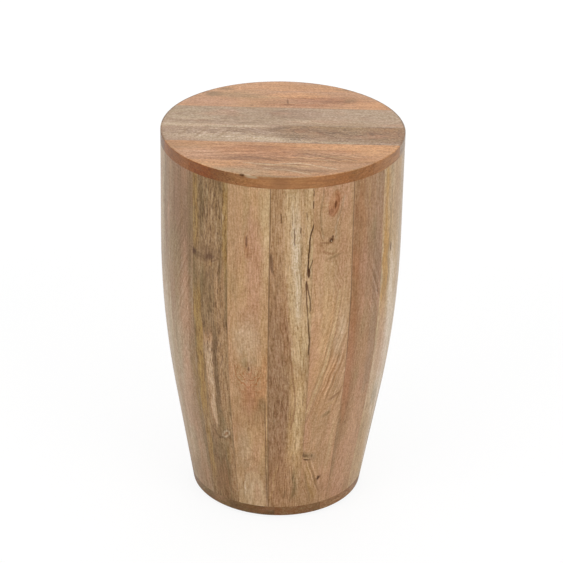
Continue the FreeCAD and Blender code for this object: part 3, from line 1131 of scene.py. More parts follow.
        Ripple(Tone.CREAM, (0.5, 238), (6, 10), 0.35, 1.2, 4.6, 3.4, Side.BELOW, 2.2),
        Patch(Tone.PEARL, (0, 280), (16, 30), 0.35),
        Patch(Tone.RUSSET, (-14, 130), (9, 50), 0.4),
        Patch(Tone.BARK, (1.2, 236), (1.2, 3.0), 0.95, 0.4, 0.3, sunk=0.6),
        Streak(Tone.APRICOT, (19, 178), (20, 262), 7, 6, 0.7, soft=5, fade=24),
        Patch(Tone.SIENNA, (4, 190), (12, 18), 0.55),
        Patch(Tone.OLIVE, (17, 182), (5, 11), 0.6),
        Patch(Tone.RUSSET, (6, 168), (14, 22), 0.5),
        Patch(Tone.PEARL, (3, 40), (20, 36), 0.4),
        Patch(Tone.PEARL, (-8, 110), (10, 30), 0.3),
        Ripple(Tone.RUSSET, (2, 40), (8, 22), 0.35, 0.6, 3.4, 1.8, Side.ABOVE, 0.6),
        Streak(Tone.MILK, (-11, 28), (-7, 66), 2, 2, 0.4, soft=2, fade=10, ragged=3),
        Streak(Tone.BARK, (17.6, 10), (21.0, 190), 1.6, 1.2, 0.65, soft=1.2, fade=24, wander=0.3,
               ragged=1.5),
        Streak(Tone.CREAM, (20.2, 14), (23.4, 180), 2.2, 1.8, 0.5, soft=1.5, fade=24, wander=0.3, ragged=2),
        Streak(Tone.RUSSET, (15.4, 14), (19.4, 190), 4, 3, 0.2, soft=3, fade=30),
    ), rings=0.1, strands=1.1, fibres=1.4, mottle=1.3, flecks=0.12, blush=0.35, moss=0.2, seed=18),
    17: LacqueredWood("stave_17_streaked_umber", Tone.UMBER, Tone.OLIVE, Tone.FAWN,
                      Sawing(-90, 20, 0.01, 3.4, 3.0), (
        Streak(Tone.OCHRE, (-18, 130), (-20, 350), 13, 12, 0.95, soft=5, fade=40),
        Streak(Tone.OCHRE, (-21, 375), (-22, 520), 8, 8, 0.7, soft=5, fade=30),
        Streak(Tone.OCHRE, (23.5, 330), (22.5, 520), 4, 7, 0.7, soft=4, fade=60),
        Streak(Tone.TAN, (18, 110), (15, 380), 15, 12, 0.75, soft=8),
        Streak(Tone.TAN, (8, 270), (10, 372), 8, 12, 0.5, soft=7),
        Streak(Tone.STRAW, (-3, 134), (-4, 275), 9, 14, 0.5, soft=6, fade=40, wander=0.6, ragged=4),
        Streak(Tone.PEACH, (-2, 130), (-4, 284), 7, 15, 0.65, soft=4, fade=20, wander=0.6, ragged=2),
        Streak(Tone.PEARL, (-1.5, 136), (-4, 270), 5, 12, 0.4, soft=4, fade=20, wander=0.6, ragged=1.5),
        Streak(Tone.DUSK, (7, 132), (6.5, 325), 4.5, 5, 0.6, soft=4, fade=50),
        Speckle(Tone.BARK, (0, 440), (28, 62), 0.6),
        Speckle(Tone.BARK, (8, 290), (24, 110), 0.4),
        Speckle(Tone.CREAM, (4, 430), (24, 60), 0.25, True),
        Patch(Tone.DUSK, (-4, 389), (15, 8), 0.4, 0.6, 0.8),
        Patch(Tone.DUSK, (-12, 379), (4, 15), 0.7, 0.7, 1.8, 86),
        Patch(Tone.BARK, (-25, 382), (4, 4), 0.85, 0.6, 1.2),
        Patch(Tone.BARK, (1.5, 382), (5, 4), 0.75, 0.7, 1.8),
        Patch(Tone.BARK, (6.5, 377), (1.2, 5), 0.5, 0.4, 0.6, 60),
        Patch(Tone.STRAW, (2.3, 372.5), (2.4, 3.4), 0.75, 0.4, 0.4),
        Patch(Tone.BARK, (12.7, 126.2), (6.2, 9.4), 0.4, 0.4, 0.4, 38),
        Patch(Tone.PEARL, (12.7, 126.6), (4.4, 7.6), 0.8, 0.25, 0.3, 38),
        Patch(Tone.RUSSET, (12.7, 126.6), (2.0, 4.8), 0.9, 0.35, 0.3, 38),
        Crack(((-5.4, 129), (0.7, 118.5)), 2.6, Tone.BARK, 0.5),
        Patch(Tone.BARK, (4.2, 118), (1.5, 5), 0.5, 0.5, 0.6, 66),
        Patch(Tone.DUSK, (-2, 68), (16, 46), 0.25),
        Patch(Tone.RUSSET, (-4, 44), (18, 34), 0.45),
        Streak(Tone.OCHRE, (13, 76), (14, 112), 7, 6, 0.5, soft=5, fade=14),
        Streak(Tone.OCHRE, (-15, 30), (-16, 150), 7, 8, 0.7, soft=5),
        Streak(Tone.TAN, (17, 10), (18, 140), 9, 9, 0.6, soft=6),
    ), rings=0.1, fibres=2.4, strands=2.4, mottle=1.6, flecks=0.4, blush=0.1, moss=0.2, seed=17),
    16: LacqueredWood("stave_16_even_mauve", Tone.FAWN, Tone.MAUVE, Tone.ASH,
                      Sawing(60, 30, 0.02, 4.0, 3.0), (
        Streak(Tone.ASH, (-12, 90), (-10, 330), 22, 14, 0.5, soft=14, fade=80),
        Patch(Tone.PEARL, (-8, 206), (16, 56), 0.35),
        Streak(Tone.OCHRE, (5, 386), (6, 456), 5, 4, 0.7, soft=4, fade=24),
        Streak(Tone.OLIVE, (20, 20), (21, 500), 8, 9, 0.6, soft=6),
        Streak(Tone.OCHRE, (19, 120), (22, 260), 5, 4, 0.5, soft=5),
        Patch(Tone.PLUM, (4, 440), (26, 84), 0.8),
        Patch(Tone.CHESTNUT, (18, 330), (4, 9), 0.4),
        Patch(Tone.BLUSH, (10, 290), (14, 60), 0.35),
        Patch(Tone.BLUSH, (0, 190), (8, 40), 0.4),
        Patch(Tone.PEARL, (-15, 84), (9, 50), 0.4),
        Patch(Tone.UMBER, (4, 44), (26, 24), 0.55),
        Feather((4, 330), (20, 120), 28, 3.5, 0.2),
    ), strands=1.3, fibres=1.2, mottle=1.6, flecks=0.25, blush=0.35, moss=0.35, seed=16),
    15: LacqueredWood("stave_15_ash", Tone.ASH, Tone.FAWN, Tone.PEARL, Sawing(-16, 50, 0.05, 6.0), (
        Patch(Tone.PLUM, (17, 420), (12, 100), 0.7),
        Patch(Tone.PEARL, (6, 220), (18, 90), 0.6),
        Patch(Tone.UMBER, (6, 40), (24, 26), 0.5),
        Streak(Tone.OCHRE, (20, 20), (20, 260), 7, 6, 0.4),
    ), strands=1.6, fibres=1.2, mottle=1.4, flecks=0.2, blush=0.4, seed=15),
}

# Finishes of the top's boards, from front to back
TOP_BOARDS: tuple[LacqueredWood, ...] = (
    LacqueredWood("top_board_01_apricot", Tone.APRICOT, Tone.ROSE, Tone.PEACH,
                  Sawing(-190, 60, 0.01, 4.0, 6.0), (
        Patch(Tone.GLOW, (-112, -80), (14, 40), 0.45),
        Patch(Tone.ASH, (-134, -60), (9, 36), 0.45),
        Patch(Tone.GLOW, (-112, 4), (7, 50), 0.35),
        Patch(Tone.UMBER, (-122, -4), (5, 24), 0.55),
        Patch(Tone.OLIVE, (-131, 26), (5, 26), 0.5),
        Streak(Tone.CHESTNUT, (-113, -44), (-108, 0), 3, 2.5, 0.5, soft=3, fade=16),
        Streak(Tone.CHESTNUT, (-108, -4), (-116, 44), 3, 2.5, 0.5, soft=3, fade=16),
        Streak(Tone.CREAM, (-117, -40), (-112, 2), 3, 3, 0.6, soft=3, fade=16),
        Streak(Tone.CREAM, (-112, -2), (-121, 46), 3, 3, 0.6, soft=3, fade=16),
        Streak(Tone.OLIVE, (-120, 36), (-112, 80), 3, 3, 0.4, soft=3, fade=20),
        Vein(((-111, -46), (-113, -10), (-108, 22), (-118, 50), (-123, 66)), 3.0, Tone.PEARL, 0.6, 1.2,
             2.0),
        Vein(((-117, -30), (-121, 5), (-131, 36), (-136, 58)), 3.4, Tone.CHESTNUT, 0.5, 1.2, 2.4),
        Vein(((-125, -20), (-129, 9), (-141, 36)), 2.6, Tone.PEARL, 0.5, 1.2, 2.0),
        Speckle(Tone.CHESTNUT, (-116, -10), (14, 80), 0.45),
        Patch(Tone.PITCH, (-144.2, -45.5), (1.5, 3.0), 0.9, 0.4, 0.5, -24, sunk=0.8, deep=3.4),
        Patch(Tone.MILK, (-146.0, -39.0), (1.7, 4.0), 0.8, 0.4, 0.5, -16, deep=2.6),
        Patch(Tone.UMBER, (-149.0, -20.0), (4.0, 24), 0.5, deep=3.0),
    ), strands=2.4, fibres=1.3, mottle=1.8, flecks=0.15, blush=0.2, seed=31),
    LacqueredWood("top_board_02_apricot", Tone.PEACH, Tone.APRICOT, Tone.APRICOT,
                  Sawing(-150, 60, 0.01, 4.0, 6.0), (
        Patch(Tone.GLOW, (-62, 106), (16, 50), 0.75),
        Patch(Tone.GLOW, (-58, 26), (8, 36), 0.45),
        Patch(Tone.BLUSH, (-88, -100), (18, 34), 0.5),
        Patch(Tone.SIENNA, (-72, -26), (20, 50), 0.5),
        Patch(Tone.SIENNA, (-98, 0), (18, 80), 0.2),
        Patch(Tone.CHESTNUT, (-62, -30), (4, 34), 0.35),
        Patch(Tone.CHESTNUT, (-95, -46), (5, 28), 0.65, turn=4),
        Patch(Tone.RUSSET, (-97, -8), (5, 34), 0.5),
        Patch(Tone.RUSSET, (-82, 46), (8, 30), 0.4, turn=-20),
        Vein(((-80, 14), (-86, 37), (-99, 58), (-106, 74)), 2.8, Tone.CHESTNUT, 0.55, 1.2, 2.2),
        Vein(((-82, 26), (-86, 52), (-94, 76), (-97, 92)), 2.6, Tone.UMBER, 0.7, 1.2, 2.2),
        Vein(((-90, 20), (-97, 48), (-102, 64)), 2.6, Tone.CREAM, 0.55, 1.2, 2.0),
        Vein(((-98, -60), (-93, -38), (-98, -16), (-102, -2)), 3.4, Tone.CHESTNUT, 0.6, 1.2, 2.2),
        Vein(((-89, -66), (-87, -30), (-91, -4)), 2.4, Tone.CHESTNUT, 0.4, 1.2, 2.2),
        Patch(Tone.SIENNA, (-70, 62), (5, 30), 0.4),
        Feather((-88, 58), (16, 40), -24, 4.6, 0.35),
        Feather((-88, -50), (18, 60), 8, 5.0, 0.3),
        Streak(Tone.STRAW, (-92, 20), (-84, 100), 4, 4, 0.4, soft=4, fade=30),
        Streak(Tone.RUSSET, (-98, 10), (-92, 80), 4, 4, 0.4, soft=4, fade=30),
        Speckle(Tone.CHESTNUT, (-86, 40), (18, 70), 0.6),
        Patch(Tone.CHESTNUT, (-75, -137), (30, 12), 0.25),
    ), strands=1.9, fibres=1.2, mottle=1.8, flecks=0.15, blush=0.2, moss=0.15, seed=32),
    LacqueredWood("top_board_03_figured_umber", Tone.SHELL, Tone.MAUVE, Tone.SHELL,
                  Sawing(-60, 30, 0.02, 3.2, 5.0), (
        Streak(Tone.PEARL, (1, -170), (0, -6), 13, 9, 0.7, soft=5, fade=30),
        Patch(Tone.PEARL, (-34, -70), (12, 70), 0.45),
        Streak(Tone.UMBER, (-16, -30), (-16, 170), 28, 44, 0.8, soft=10, fade=40),
        Streak(Tone.OCHRE, (3, -14), (-1, 160), 7, 9, 0.5, soft=6, fade=30),
        Patch(Tone.CHESTNUT, (-16, 50), (11, 40), 0.45, turn=-14),
        Patch(Tone.SIENNA, (-10, 40), (11, 40), 0.4),
        Patch(Tone.RUSSET, (-18, 128), (20, 28), 0.65),
        Patch(Tone.SIENNA, (-14, 122), (14, 26), 0.35),
        Patch(Tone.DUSK, (-4, -2), (4, 14), 0.5, turn=20),
        Streak(Tone.PEARL, (-36, -60), (-46, 100), 12, 6, 0.7, soft=6, fade=30),
        Ripple(Tone.DUSK, (-20, 78), (15, 34), 0.65, 0.2, 3.0, 2.6, Side.ROUND, 1.8),
        Ripple(Tone.FAWN, (-20, 82), (15, 34), 0.5, 0.2, 3.0, 2.6, Side.ROUND, 1.8),
        Patch(Tone.DUSK, (-12, 56), (5, 24), 0.4, 0.6, 0.8, -10),
        Feather((-22, -92), (18, 44), 62, 5.0, 0.3),
        Feather((-14, -40), (14, 34), -28, 5.0, 0.3),
        Streak(Tone.DUSK, (-10, -60), (-8, -8), 3, 3, 0.45, soft=3, fade=16),
        Streak(Tone.DUSK, (-20, -84), (-14, -40), 3, 2, 0.35, soft=3, fade=16),
        Speckle(Tone.BARK, (-18, 60), (26, 90), 0.45),
        Speckle(Tone.PEARL, (-20, 40), (22, 100), 0.2, True),
        Speckle(Tone.DUSK, (-18, -80), (24, 80), 0.4),
        Speckle(Tone.PEARL, (-22, -90), (22, 60), 0.35, True),
    ), rings=0.1, strands=1.3, fibres=1.1, mottle=2.4, flecks=0.2, blush=0.3, moss=0.1, seed=33),
    LacqueredWood("top_board_04_mauve", Tone.ASH, Tone.SHELL, Tone.SHELL, Sawing(140, 40, 0.01, 3.4, 5.0), (
        Patch(Tone.MAUVE, (36, 0), (26, 70), 0.3),
        Streak(Tone.PEARL, (26, -150), (20, -60), 12, 6, 0.4, soft=8),
        Patch(Tone.FAWN, (12, 70), (6, 70), 0.5),
        Streak(Tone.PEARL, (19, 4), (15, 60), 3, 3, 0.7, soft=3, fade=20),
        Streak(Tone.OLIVE, (14, -150), (12, -10), 4, 4, 0.5, soft=4, fade=30),
        Patch(Tone.PLUM, (42, 16), (14, 33), 0.6, 0.2, 0.4),
        Patch(Tone.SHELL, (42, 20), (11, 30), 0.7, 0.3, 0.4),
        Patch(Tone.MAUVE, (42, 6), (9, 18), 0.5, 0.6, 0.6),
        Ripple(Tone.PLUM, (32, 122), (14, 26), 0.4, 0.6, 2.0, 2.0, Side.ROUND, 0.9),
        Ripple(Tone.PEARL, (32, 118), (14, 26), 0.2, 0.8, 1.9, 2.0, Side.ROUND, 0.9),
        Ripple(Tone.PLUM, (36, -112), (15, 36), 0.45, 0.5, 2.2, 1.8, Side.ROUND, 0.9),
        Speckle(Tone.DUSK, (34, -60), (24, 100), 0.3),
        Speckle(Tone.DUSK, (42, 6), (14, 30), 0.3),
        Streak(Tone.FAWN, (60, -140), (60, 10), 4, 4, 0.5, soft=4),
    ), rings=0.06, strands=1.4, fibres=1.1, mottle=1.9, flecks=0.12, moss=0.1, blush=0.4, seed=34),
    LacqueredWood("top_board_05_peach", Tone.PEACH, Tone.APRICOT, Tone.BLUSH,
                  Sawing(150, 60, 0.01, 4.0, 6.0), (
        Patch(Tone.GLOW, (102, 20), (10, 36), 0.75),
        Patch(Tone.GLOW, (76, 106), (12, 36), 0.55),
        Patch(Tone.BLUSH, (82, -88), (12, 40), 0.5),
        Patch(Tone.SIENNA, (89, 54), (10, 42), 0.65),
        Patch(Tone.CHESTNUT, (86, 62), (5, 22), 0.5),
        Patch(Tone.OLIVE, (90, 84), (6, 8), 0.45),
        Patch(Tone.SIENNA, (77, -14), (9, 24), 0.4),
        Patch(Tone.SIENNA, (72, 30), (5, 34), 0.55),
        Patch(Tone.MOSS, (100, -60), (8, 26), 0.4),
        Streak(Tone.CREAM, (92, -60), (98, 0), 5, 5, 0.4, soft=5, fade=30),
        Streak(Tone.UMBER, (100, -70), (106, -10), 3, 3, 0.5, soft=4, fade=30),
        Patch(Tone.OLIVE, (103, -92), (7, 9), 0.6),
        Patch(Tone.CHESTNUT, (83, 4.2), (9.0, 1.3), 0.85, 0.4, 0.3, 3, sunk=0.4),
        Patch(Tone.CHESTNUT, (72.6, 4.6), (2.4, 8), 0.7, 0.5, 0.4, sunk=0.4),
        Patch(Tone.CHESTNUT, (68, -41), (2.5, 3), 0.5),
        Speckle(Tone.CHESTNUT, (88, 40), (20, 80), 0.4),
    ), strands=1.9, fibres=1.2, mottle=1.8, flecks=0.12, blush=0.3, moss=0.15, seed=35),
    LacqueredWood("top_board_06_peach", Tone.PEACH, Tone.BLUSH, Tone.GLOW,
                  Sawing(220, 60, 0.01, 4.0, 6.0), (
        Patch(Tone.APRICOT, (130, 40), (8, 40), 0.45),
        Patch(Tone.OLIVE, (119, -74), (7, 9), 0.5),
        Patch(Tone.OLIVE, (124, 84), (4, 16), 0.4),
        Streak(Tone.FAWN, (122, -60), (120, 0), 4, 4, 0.4, soft=5),
        Streak(Tone.APRICOT, (138, -40), (136, 50), 6, 6, 0.4, soft=5),
    ), strands=1.9, fibres=1.2, mottle=1.8, flecks=0.15, blush=0.2, moss=0.1, seed=36),
)


@dataclass(frozen=True)
class StreakDraw:
    """Ranges that some streaks of a drawn stave come from, in millimetres on its face."""

    tones: tuple[Tone, ...]
    number: int
    across: float
    foot: Span
    lean: float
    length: Span
    width: Span
    head_width: Span
    strength: Span
    soft: float
    fade: float

    def streaks(self, draw: random.Random) -> list[Mark]:
        """Draws the streaks.

        Args:
            draw: The stave's random numbers.

        Returns:
            The streaks, in the order in which they are laid.
        """
        made: list[Mark] = []
        for tone in draw.sample(self.tones, self.number):
            foot = (draw.uniform(-self.across, self.across), draw.uniform(*self.foot))
            head = (foot[0] + draw.uniform(-self.lean, self.lean), foot[1] + draw.uniform(*self.length))
            made.append(Streak(tone, foot, head, draw.uniform(*self.width), draw.uniform(*self.head_width),
                               draw.uniform(*self.strength), soft=self.soft, fade=self.fade))
        return made


class DrawnStave:
    """The finish of a stave that the camera does not see, with marks drawn from its own seed."""

    SLOT_START = "wood_"
    WOODS: dict[str, tuple[Tone, Tone, Tone]] = {
        "wood_pale": (Tone.CREAM, Tone.TAN, Tone.PEARL),
        "wood_tan": (Tone.TAN, Tone.ROSE, Tone.PEACH),
        "wood_peach": (Tone.PEACH, Tone.ROSE, Tone.STRAW),
        "wood_russet": (Tone.ROSE, Tone.RUSSET, Tone.MAUVE),
        "wood_mauve": (Tone.MAUVE, Tone.PLUM, Tone.FAWN),
        "wood_umber": (Tone.UMBER, Tone.DUSK, Tone.TAN),
        "wood_ochre": (Tone.STRAW, Tone.TAN, Tone.CREAM),
    }
    BROAD = StreakDraw((Tone.CREAM, Tone.OCHRE, Tone.MAUVE, Tone.UMBER, Tone.BLUSH, Tone.STRAW), 3, 18,
                       (20, 160), 9, (140, 320), (7, 16), (5, 18), (0.4, 0.75), 8, 50)
    FINE = StreakDraw((Tone.DUSK, Tone.PEARL, Tone.OLIVE, Tone.RUSSET), 2, 22,
                      (20, 260), 6, (90, 220), (2, 5), (1.5, 4), (0.45, 0.7), 4, 30)
    STAIN_TONES = (Tone.PLUM, Tone.BLUSH, Tone.CREAM, Tone.SIENNA)
    STAINS = 2
    STAIN_PLACE: tuple[Span, Span] = ((-15, 15), (40, 450))
    STAIN_REACH: tuple[Span, Span] = ((8, 18), (30, 80))
    STAIN_STRENGTH: Span = (0.3, 0.55)
    FEATHER_PLACE: tuple[Span, Span] = ((-8, 8), (80, 420))
    FEATHER_REACH: tuple[Span, Span] = ((12, 20), (40, 90))
    FEATHER_LEAN_GAP_STRENGTH: tuple[Span, ...] = ((-30, 30), (3, 5), (0.2, 0.35))
    MOST_KNOTS = 2
    KNOT_PLACE: tuple[Span, Span] = ((-15, 15), (60, 450))
    KNOT_REACH: Span = (2.5, 8)
    KNOT_LENGTH: Span = (0.9, 1.5)
    KNOT_FLOW: Point = (2.2, 4.5)
    KNOT_LIFT = 4.0
    CRACK_CHANCE = 0.4
    CRACK_PLACE: tuple[Span, Span] = ((-20, 20), (120, 400))
    CRACK_STEP: tuple[Span, Span] = ((-3, 3), (20, 50))
    PITH_TILT_GAP: tuple[Span, ...] = ((-40, 40), (35, 60), (0.02, 0.08), (3.5, 6))
    SWEEP: Span = (-15, 15)
    RINGS: Span = (0.08, 0.2)
    FLECKS: Span = (0.1, 0.5)

    def __init__(self, number: int, slot: str) -> None:
        """Starts the stave's random numbers.

        Args:
            number: The stave's number, which is its seed.
            slot: The record's material slot, which gives its woods.
        """
        self.number = number
        self.slot = slot
        self.draw = random.Random(number)

    def drawn(self, *spans: Span) -> tuple[float, ...]:
        """A number from each span, drawn in turn."""
        return tuple(self.draw.uniform(*span) for span in spans)

    def marks(self) -> tuple[Mark, ...]:
        """Draws streaks, stains, feathered grain, knots and perhaps a crack.

        Returns:
            The marks, in the order in which they are laid.
        """
        made = self.BROAD.streaks(self.draw) + self.FINE.streaks(self.draw)
        for tone in self.draw.sample(self.STAIN_TONES, self.STAINS):
            place, reach = self.drawn(*self.STAIN_PLACE), self.drawn(*self.STAIN_REACH)
            made.append(Patch(tone, place, reach, *self.drawn(self.STAIN_STRENGTH)))
        place, reach = self.drawn(*self.FEATHER_PLACE), self.drawn(*self.FEATHER_REACH)
        made.append(Feather(place, reach, *self.drawn(*self.FEATHER_LEAN_GAP_STRENGTH)))
        for _ in range(self.draw.randint(0, self.MOST_KNOTS)):
            size = self.draw.uniform(*self.KNOT_REACH)
            place = self.drawn(*self.KNOT_PLACE)
            reach = (size, size * self.draw.uniform(*self.KNOT_LENGTH))
            flow = (size * self.KNOT_FLOW[0], size * self.KNOT_FLOW[1])
            made.append(Knot(place, reach, flow, size * self.KNOT_LIFT))
        if self.draw.random() < self.CRACK_CHANCE:
            foot, step = self.drawn(*self.CRACK_PLACE), self.drawn(*self.CRACK_STEP)
            made.append(Crack((foot, (foot[0] + step[0], foot[1] + step[1]))))
        return tuple(made)

    def wood(self) -> LacqueredWood:
        """Draws the stave's marks, then how it was sawn, then its rings and flecks.

        Returns:
            The finish.
        """
        marks = self.marks()
        sawing = Sawing(*self.drawn(*self.PITH_TILT_GAP), sweep=self.draw.uniform(*self.SWEEP))
        rings, flecks = self.drawn(self.RINGS, self.FLECKS)
        name = f"stave_{self.number:02d}_{self.slot.removeprefix(self.SLOT_START)}"
        return LacqueredWood(name, *self.WOODS[self.slot], sawing, marks, rings=rings, flecks=flecks,
                             seed=self.number)


class Assembly(ABC):
    """CAD nodes that are dressed together."""

    @abstractmethod
    def coats(self) -> Iterator[tuple[str, bpy.types.Material]]:
        """Each node's name with its material."""

    def dress(self) -> Iterator[str]:
        """Puts each material in every slot of its node.

        Returns:
            The nodes' names, each once it is dressed.
        """
        for name, material in self.coats():
            for slot in frame["nodes"][name].material_slots:
                slot.material = material
            yield name


@dataclass
class StaveDrum(Assembly):
    """The drum: upright staves, glued edge to edge and turned round."""

    count: int = 18
    first_seam: float = -4.3
    drum_radius: float = 151.5
    open_seams: dict[int, float] = field(default_factory=lambda: {2: 250.0, 9: 90.0, 13: 300.0, 18: 0.0})

    def coats(self) -> Iterator[tuple[str, bpy.types.Material]]:
        """Makes each stave's wood, round the drum from the front one.

        Returns:
            The staves' names with their materials.
        """
        step = 360.0 / self.count
        slots = {row["node"]: row["material_slot"] for row in frame["record"]["subparts"]}
        for number in range(1, self.count + 1):
            name = f"stave_{number:02d}"
            wood = VISIBLE_STAVES.get(number) or DrawnStave(number, slots[name]).wood()
            before = (number - 2) % self.count + 1
            seams = StaveSeams(math.radians(step / 2.0), self.drum_radius, self.open_seams.get(before),
                               self.open_seams.get(number))
            board = BoardFrame.of_stave(self.first_seam + step * (number - 0.5), self.drum_radius)
            yield name, lacquer(board, wood, seams)


@dataclass
class BoardedTop(Assembly):
    """The round top: boards that run from left to right, told from the front one to the back."""

    face_height: float = 500.0
    rim_marks: dict[int, tuple[RimMark, ...]] = field(default_factory=lambda: {
        1: (RimMark(Tone.CREAM, -116.0, -62.0, 0.95),
            RimMark(Tone.APRICOT, -30.0, 60.0, 0.35, False),
            RimMark(Tone.RUSSET, -44.0, -14.0, 0.5, False, 5.0, 5.5),
            RimMark(Tone.ASH, -41.0, -28.0, 0.85, False, 3.0, 4.2),
            RimMark(Tone.PITCH, -47.0, -43.5, 0.85, False, 1.0, 2.6)),
        2: (RimMark(Tone.PEARL, -130.0, -100.0, 0.5),
            RimMark(Tone.TAN, 116.0, 160.0, 0.4, False)),
        3: (RimMark(Tone.PEARL, -160.0, 0.0, 0.5),
            RimMark(Tone.MILK, 0.0, 160.0, 0.6, False)),
    })
    # Strength of the painted shade along the eased round edge of the face, by board; boards towards the back
    # get more
    painted_edge_shades: dict[int, float] = field(default_factory=lambda: {3: 0.35, 4: 0.75, 5: 0.8, 6: 0.6})

    def coats(self) -> Iterator[tuple[str, bpy.types.Material]]:
        """Makes each board's wood.

        Returns:
            The boards' names with their materials.
        """
        board = BoardFrame.of_top_board(self.face_height)
        for number, wood in enumerate(TOP_BOARDS, start=1):
            name = f"top_board_{number:02d}"
            low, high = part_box(name)
            marks, line = self.rim_marks.get(number, ()), self.painted_edge_shades.get(number, 0.0)
            seams = BoardSeams(low.y * MILLIMETRES, high.y * MILLIMETRES, rim_marks=marks, line=line)
            yield name, lacquer(board, wood, seams)


@dataclass
class BoardedBase(Assembly):
    """The round base: boards that run from front to back, told from left to right."""

    pith_depth: float = 40.0
    tilt: float = 0.02
    flecks: float = 0.3
    rim_strength: float = 0.2
    first_seed: int = 41
    tones: tuple[tuple[Tone, Tone, Tone], ...] = (
        (Tone.UMBER, Tone.OLIVE, Tone.OLIVE),
        (Tone.OLIVE, Tone.DUSK, Tone.CHESTNUT),
        (Tone.UMBER, Tone.CHESTNUT, Tone.OLIVE),
        (Tone.TAN, Tone.RUSSET, Tone.UMBER),
    )

    def coats(self) -> Iterator[tuple[str, bpy.types.Material]]:
        """Makes each board's wood.

        Returns:
            The boards' names with their materials.
        """
        board = BoardFrame.of_base_board()
        for place, tones in enumerate(self.tones):
            name = f"base_board_{place + 1:02d}"
            low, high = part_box(name)
            sawing = Sawing((low.x + high.x) * (MILLIMETRES / 2.0), self.pith_depth, self.tilt)
            wood = LacqueredWood(f"{name}_wood", *tones, sawing, flecks=self.flecks,
                                 seed=self.first_seed + place)
            seams = BoardSeams(low.x * MILLIMETRES, high.x * MILLIMETRES, rim_strength=self.rim_strength)
            yield name, lacquer(board, wood, seams)


@dataclass(frozen=True)
class PlainFinish(ABC):
    """A finish that every fitting of a kind shares."""

    name: str
    roughness: float
    relief: float
    metallic: float = 0.0
    bump: float = 0.5

    @abstractmethod
    def paint(self, tree: ShaderTree, place: Socket) -> tuple[Socket, Value, Value]:
        """The finish's colour, roughness and relief, from a place in millimetres."""

    def material(self) -> bpy.types.Material:
        """Paints the finish and ends it with its shader and output.

        Returns:
            The material.
        """
        material = bpy.data.materials.new(self.name)
        tree = ShaderTree(material)
        colour, roughness, height = self.paint(tree, tree.place())
        bump = tree.node("ShaderNodeBump", None, {
            "Strength": self.bump, "Distance": self.relief, "Height": height})
        tree.show(tree.node("ShaderNodeBsdfPrincipled", None, {
            "Base Color": colour, "Roughness": roughness, "Metallic": self.metallic,
            "Normal": bump.outputs[0]}))
        return material


@dataclass(frozen=True)
class Plywood(PlainFinish):
    """Bare sanded plywood: pale faces, and plies that show on its round edge."""

    name: str = "birch_plywood"
    roughness: float = 0.62
    relief: float = 0.0001
    fibre: Noise = Noise((0.01, 0.5, 0.5), 3.0, 0.6)
    fibre_edge: Span = (0.35, 0.7)
    fibre_strength: float = 0.35
    fibre_roughness: float = 0.2
    ply: float = 2.4
    glue_edge: Span = (0.1, 0.5)
    glue_strength: float = 0.6

    def paint(self, tree: ShaderTree, place: Socket) -> tuple[Socket, Value, Value]:
        """Paints fibres on the faces and glue lines between the plies.

        Args:
            tree: The material's nodes.
            place: A place on the piece, in millimetres.

        Returns:
            The colour, the roughness and the relief.
        """
        fibre = tree.noise(place, self.fibre)
        glue = tree.math("PINGPONG", tree.parts(place)[2], self.ply).falling(*self.glue_edge)
        colour = tree.colour(fibre.rising(*self.fibre_edge) * self.fibre_strength, Tone.BIRCH, Tone.STRAW)
        colour = tree.colour(glue * self.glue_strength, colour, Tone.BIRCH_GLUE)
        return colour, fibre * self.fibre_roughness + self.roughness, fibre


@dataclass(frozen=True)
class ZincSteel(PlainFinish):
    """Zinc-plated steel of the screws and nails, dull in patches."""

    name: str = "zinc_plated_steel"
    roughness: float = 0.28
    relief: float = 0.00004
    metallic: float = 1.0
    cloud: Noise = Noise((0.5, 0.5, 0.5), 3.0)
    cloud_edge: Span = (0.35, 0.7)
    cloud_roughness: float = 0.3
    grit: Noise = Noise((4.0, 4.0, 4.0))

    def paint(self, tree: ShaderTree, place: Socket) -> tuple[Socket, Value, Value]:
        """Paints dull patches over bright plating.

        Args:
            tree: The material's nodes.
            place: A place on the piece, in millimetres.

        Returns:
            The colour, the roughness and the relief.
        """
        cloud = tree.noise(place, self.cloud)
        colour = tree.colour(cloud.rising(*self.cloud_edge), Tone.ZINC, Tone.ZINC_DULL)
        return colour, cloud * self.cloud_roughness + self.roughness, tree.noise(place, self.grit)


@dataclass(frozen=True)
class Nylon(PlainFinish):
    """Matt moulded nylon of the floor glides, scuffed where it meets the floor."""

    name: str = "moulded_nylon"
    roughness: float = 0.5
    relief: float = 0.00005
    grit: Noise = Noise((2.5, 2.5, 2.5), 3.0)
    scratch: Noise = Noise((0.25, 3.0, 1.0))
    scratch_edge: Span = (0.45, 0.65)
    scuff_height: float = 0.8
    scuff_roughness: float = 0.25

    def paint(self, tree: ShaderTree, place: Socket) -> tuple[Socket, Value, Value]:
        """Paints scuffs near the floor.

        Args:
            tree: The material's nodes.
            place: A place on the piece, in millimetres.

        Returns:
            The colour, the roughness and the relief.
        """
        scratch = tree.noise(place, self.scratch).rising(*self.scratch_edge)
        scuff = tree.parts(place)[2].falling(0.0, self.scuff_height) * scratch
        colour = tree.colour(scuff, Tone.NYLON, Tone.NYLON_SCUFFED)
        return colour, scuff * self.scuff_roughness + self.roughness, tree.noise(place, self.grit)


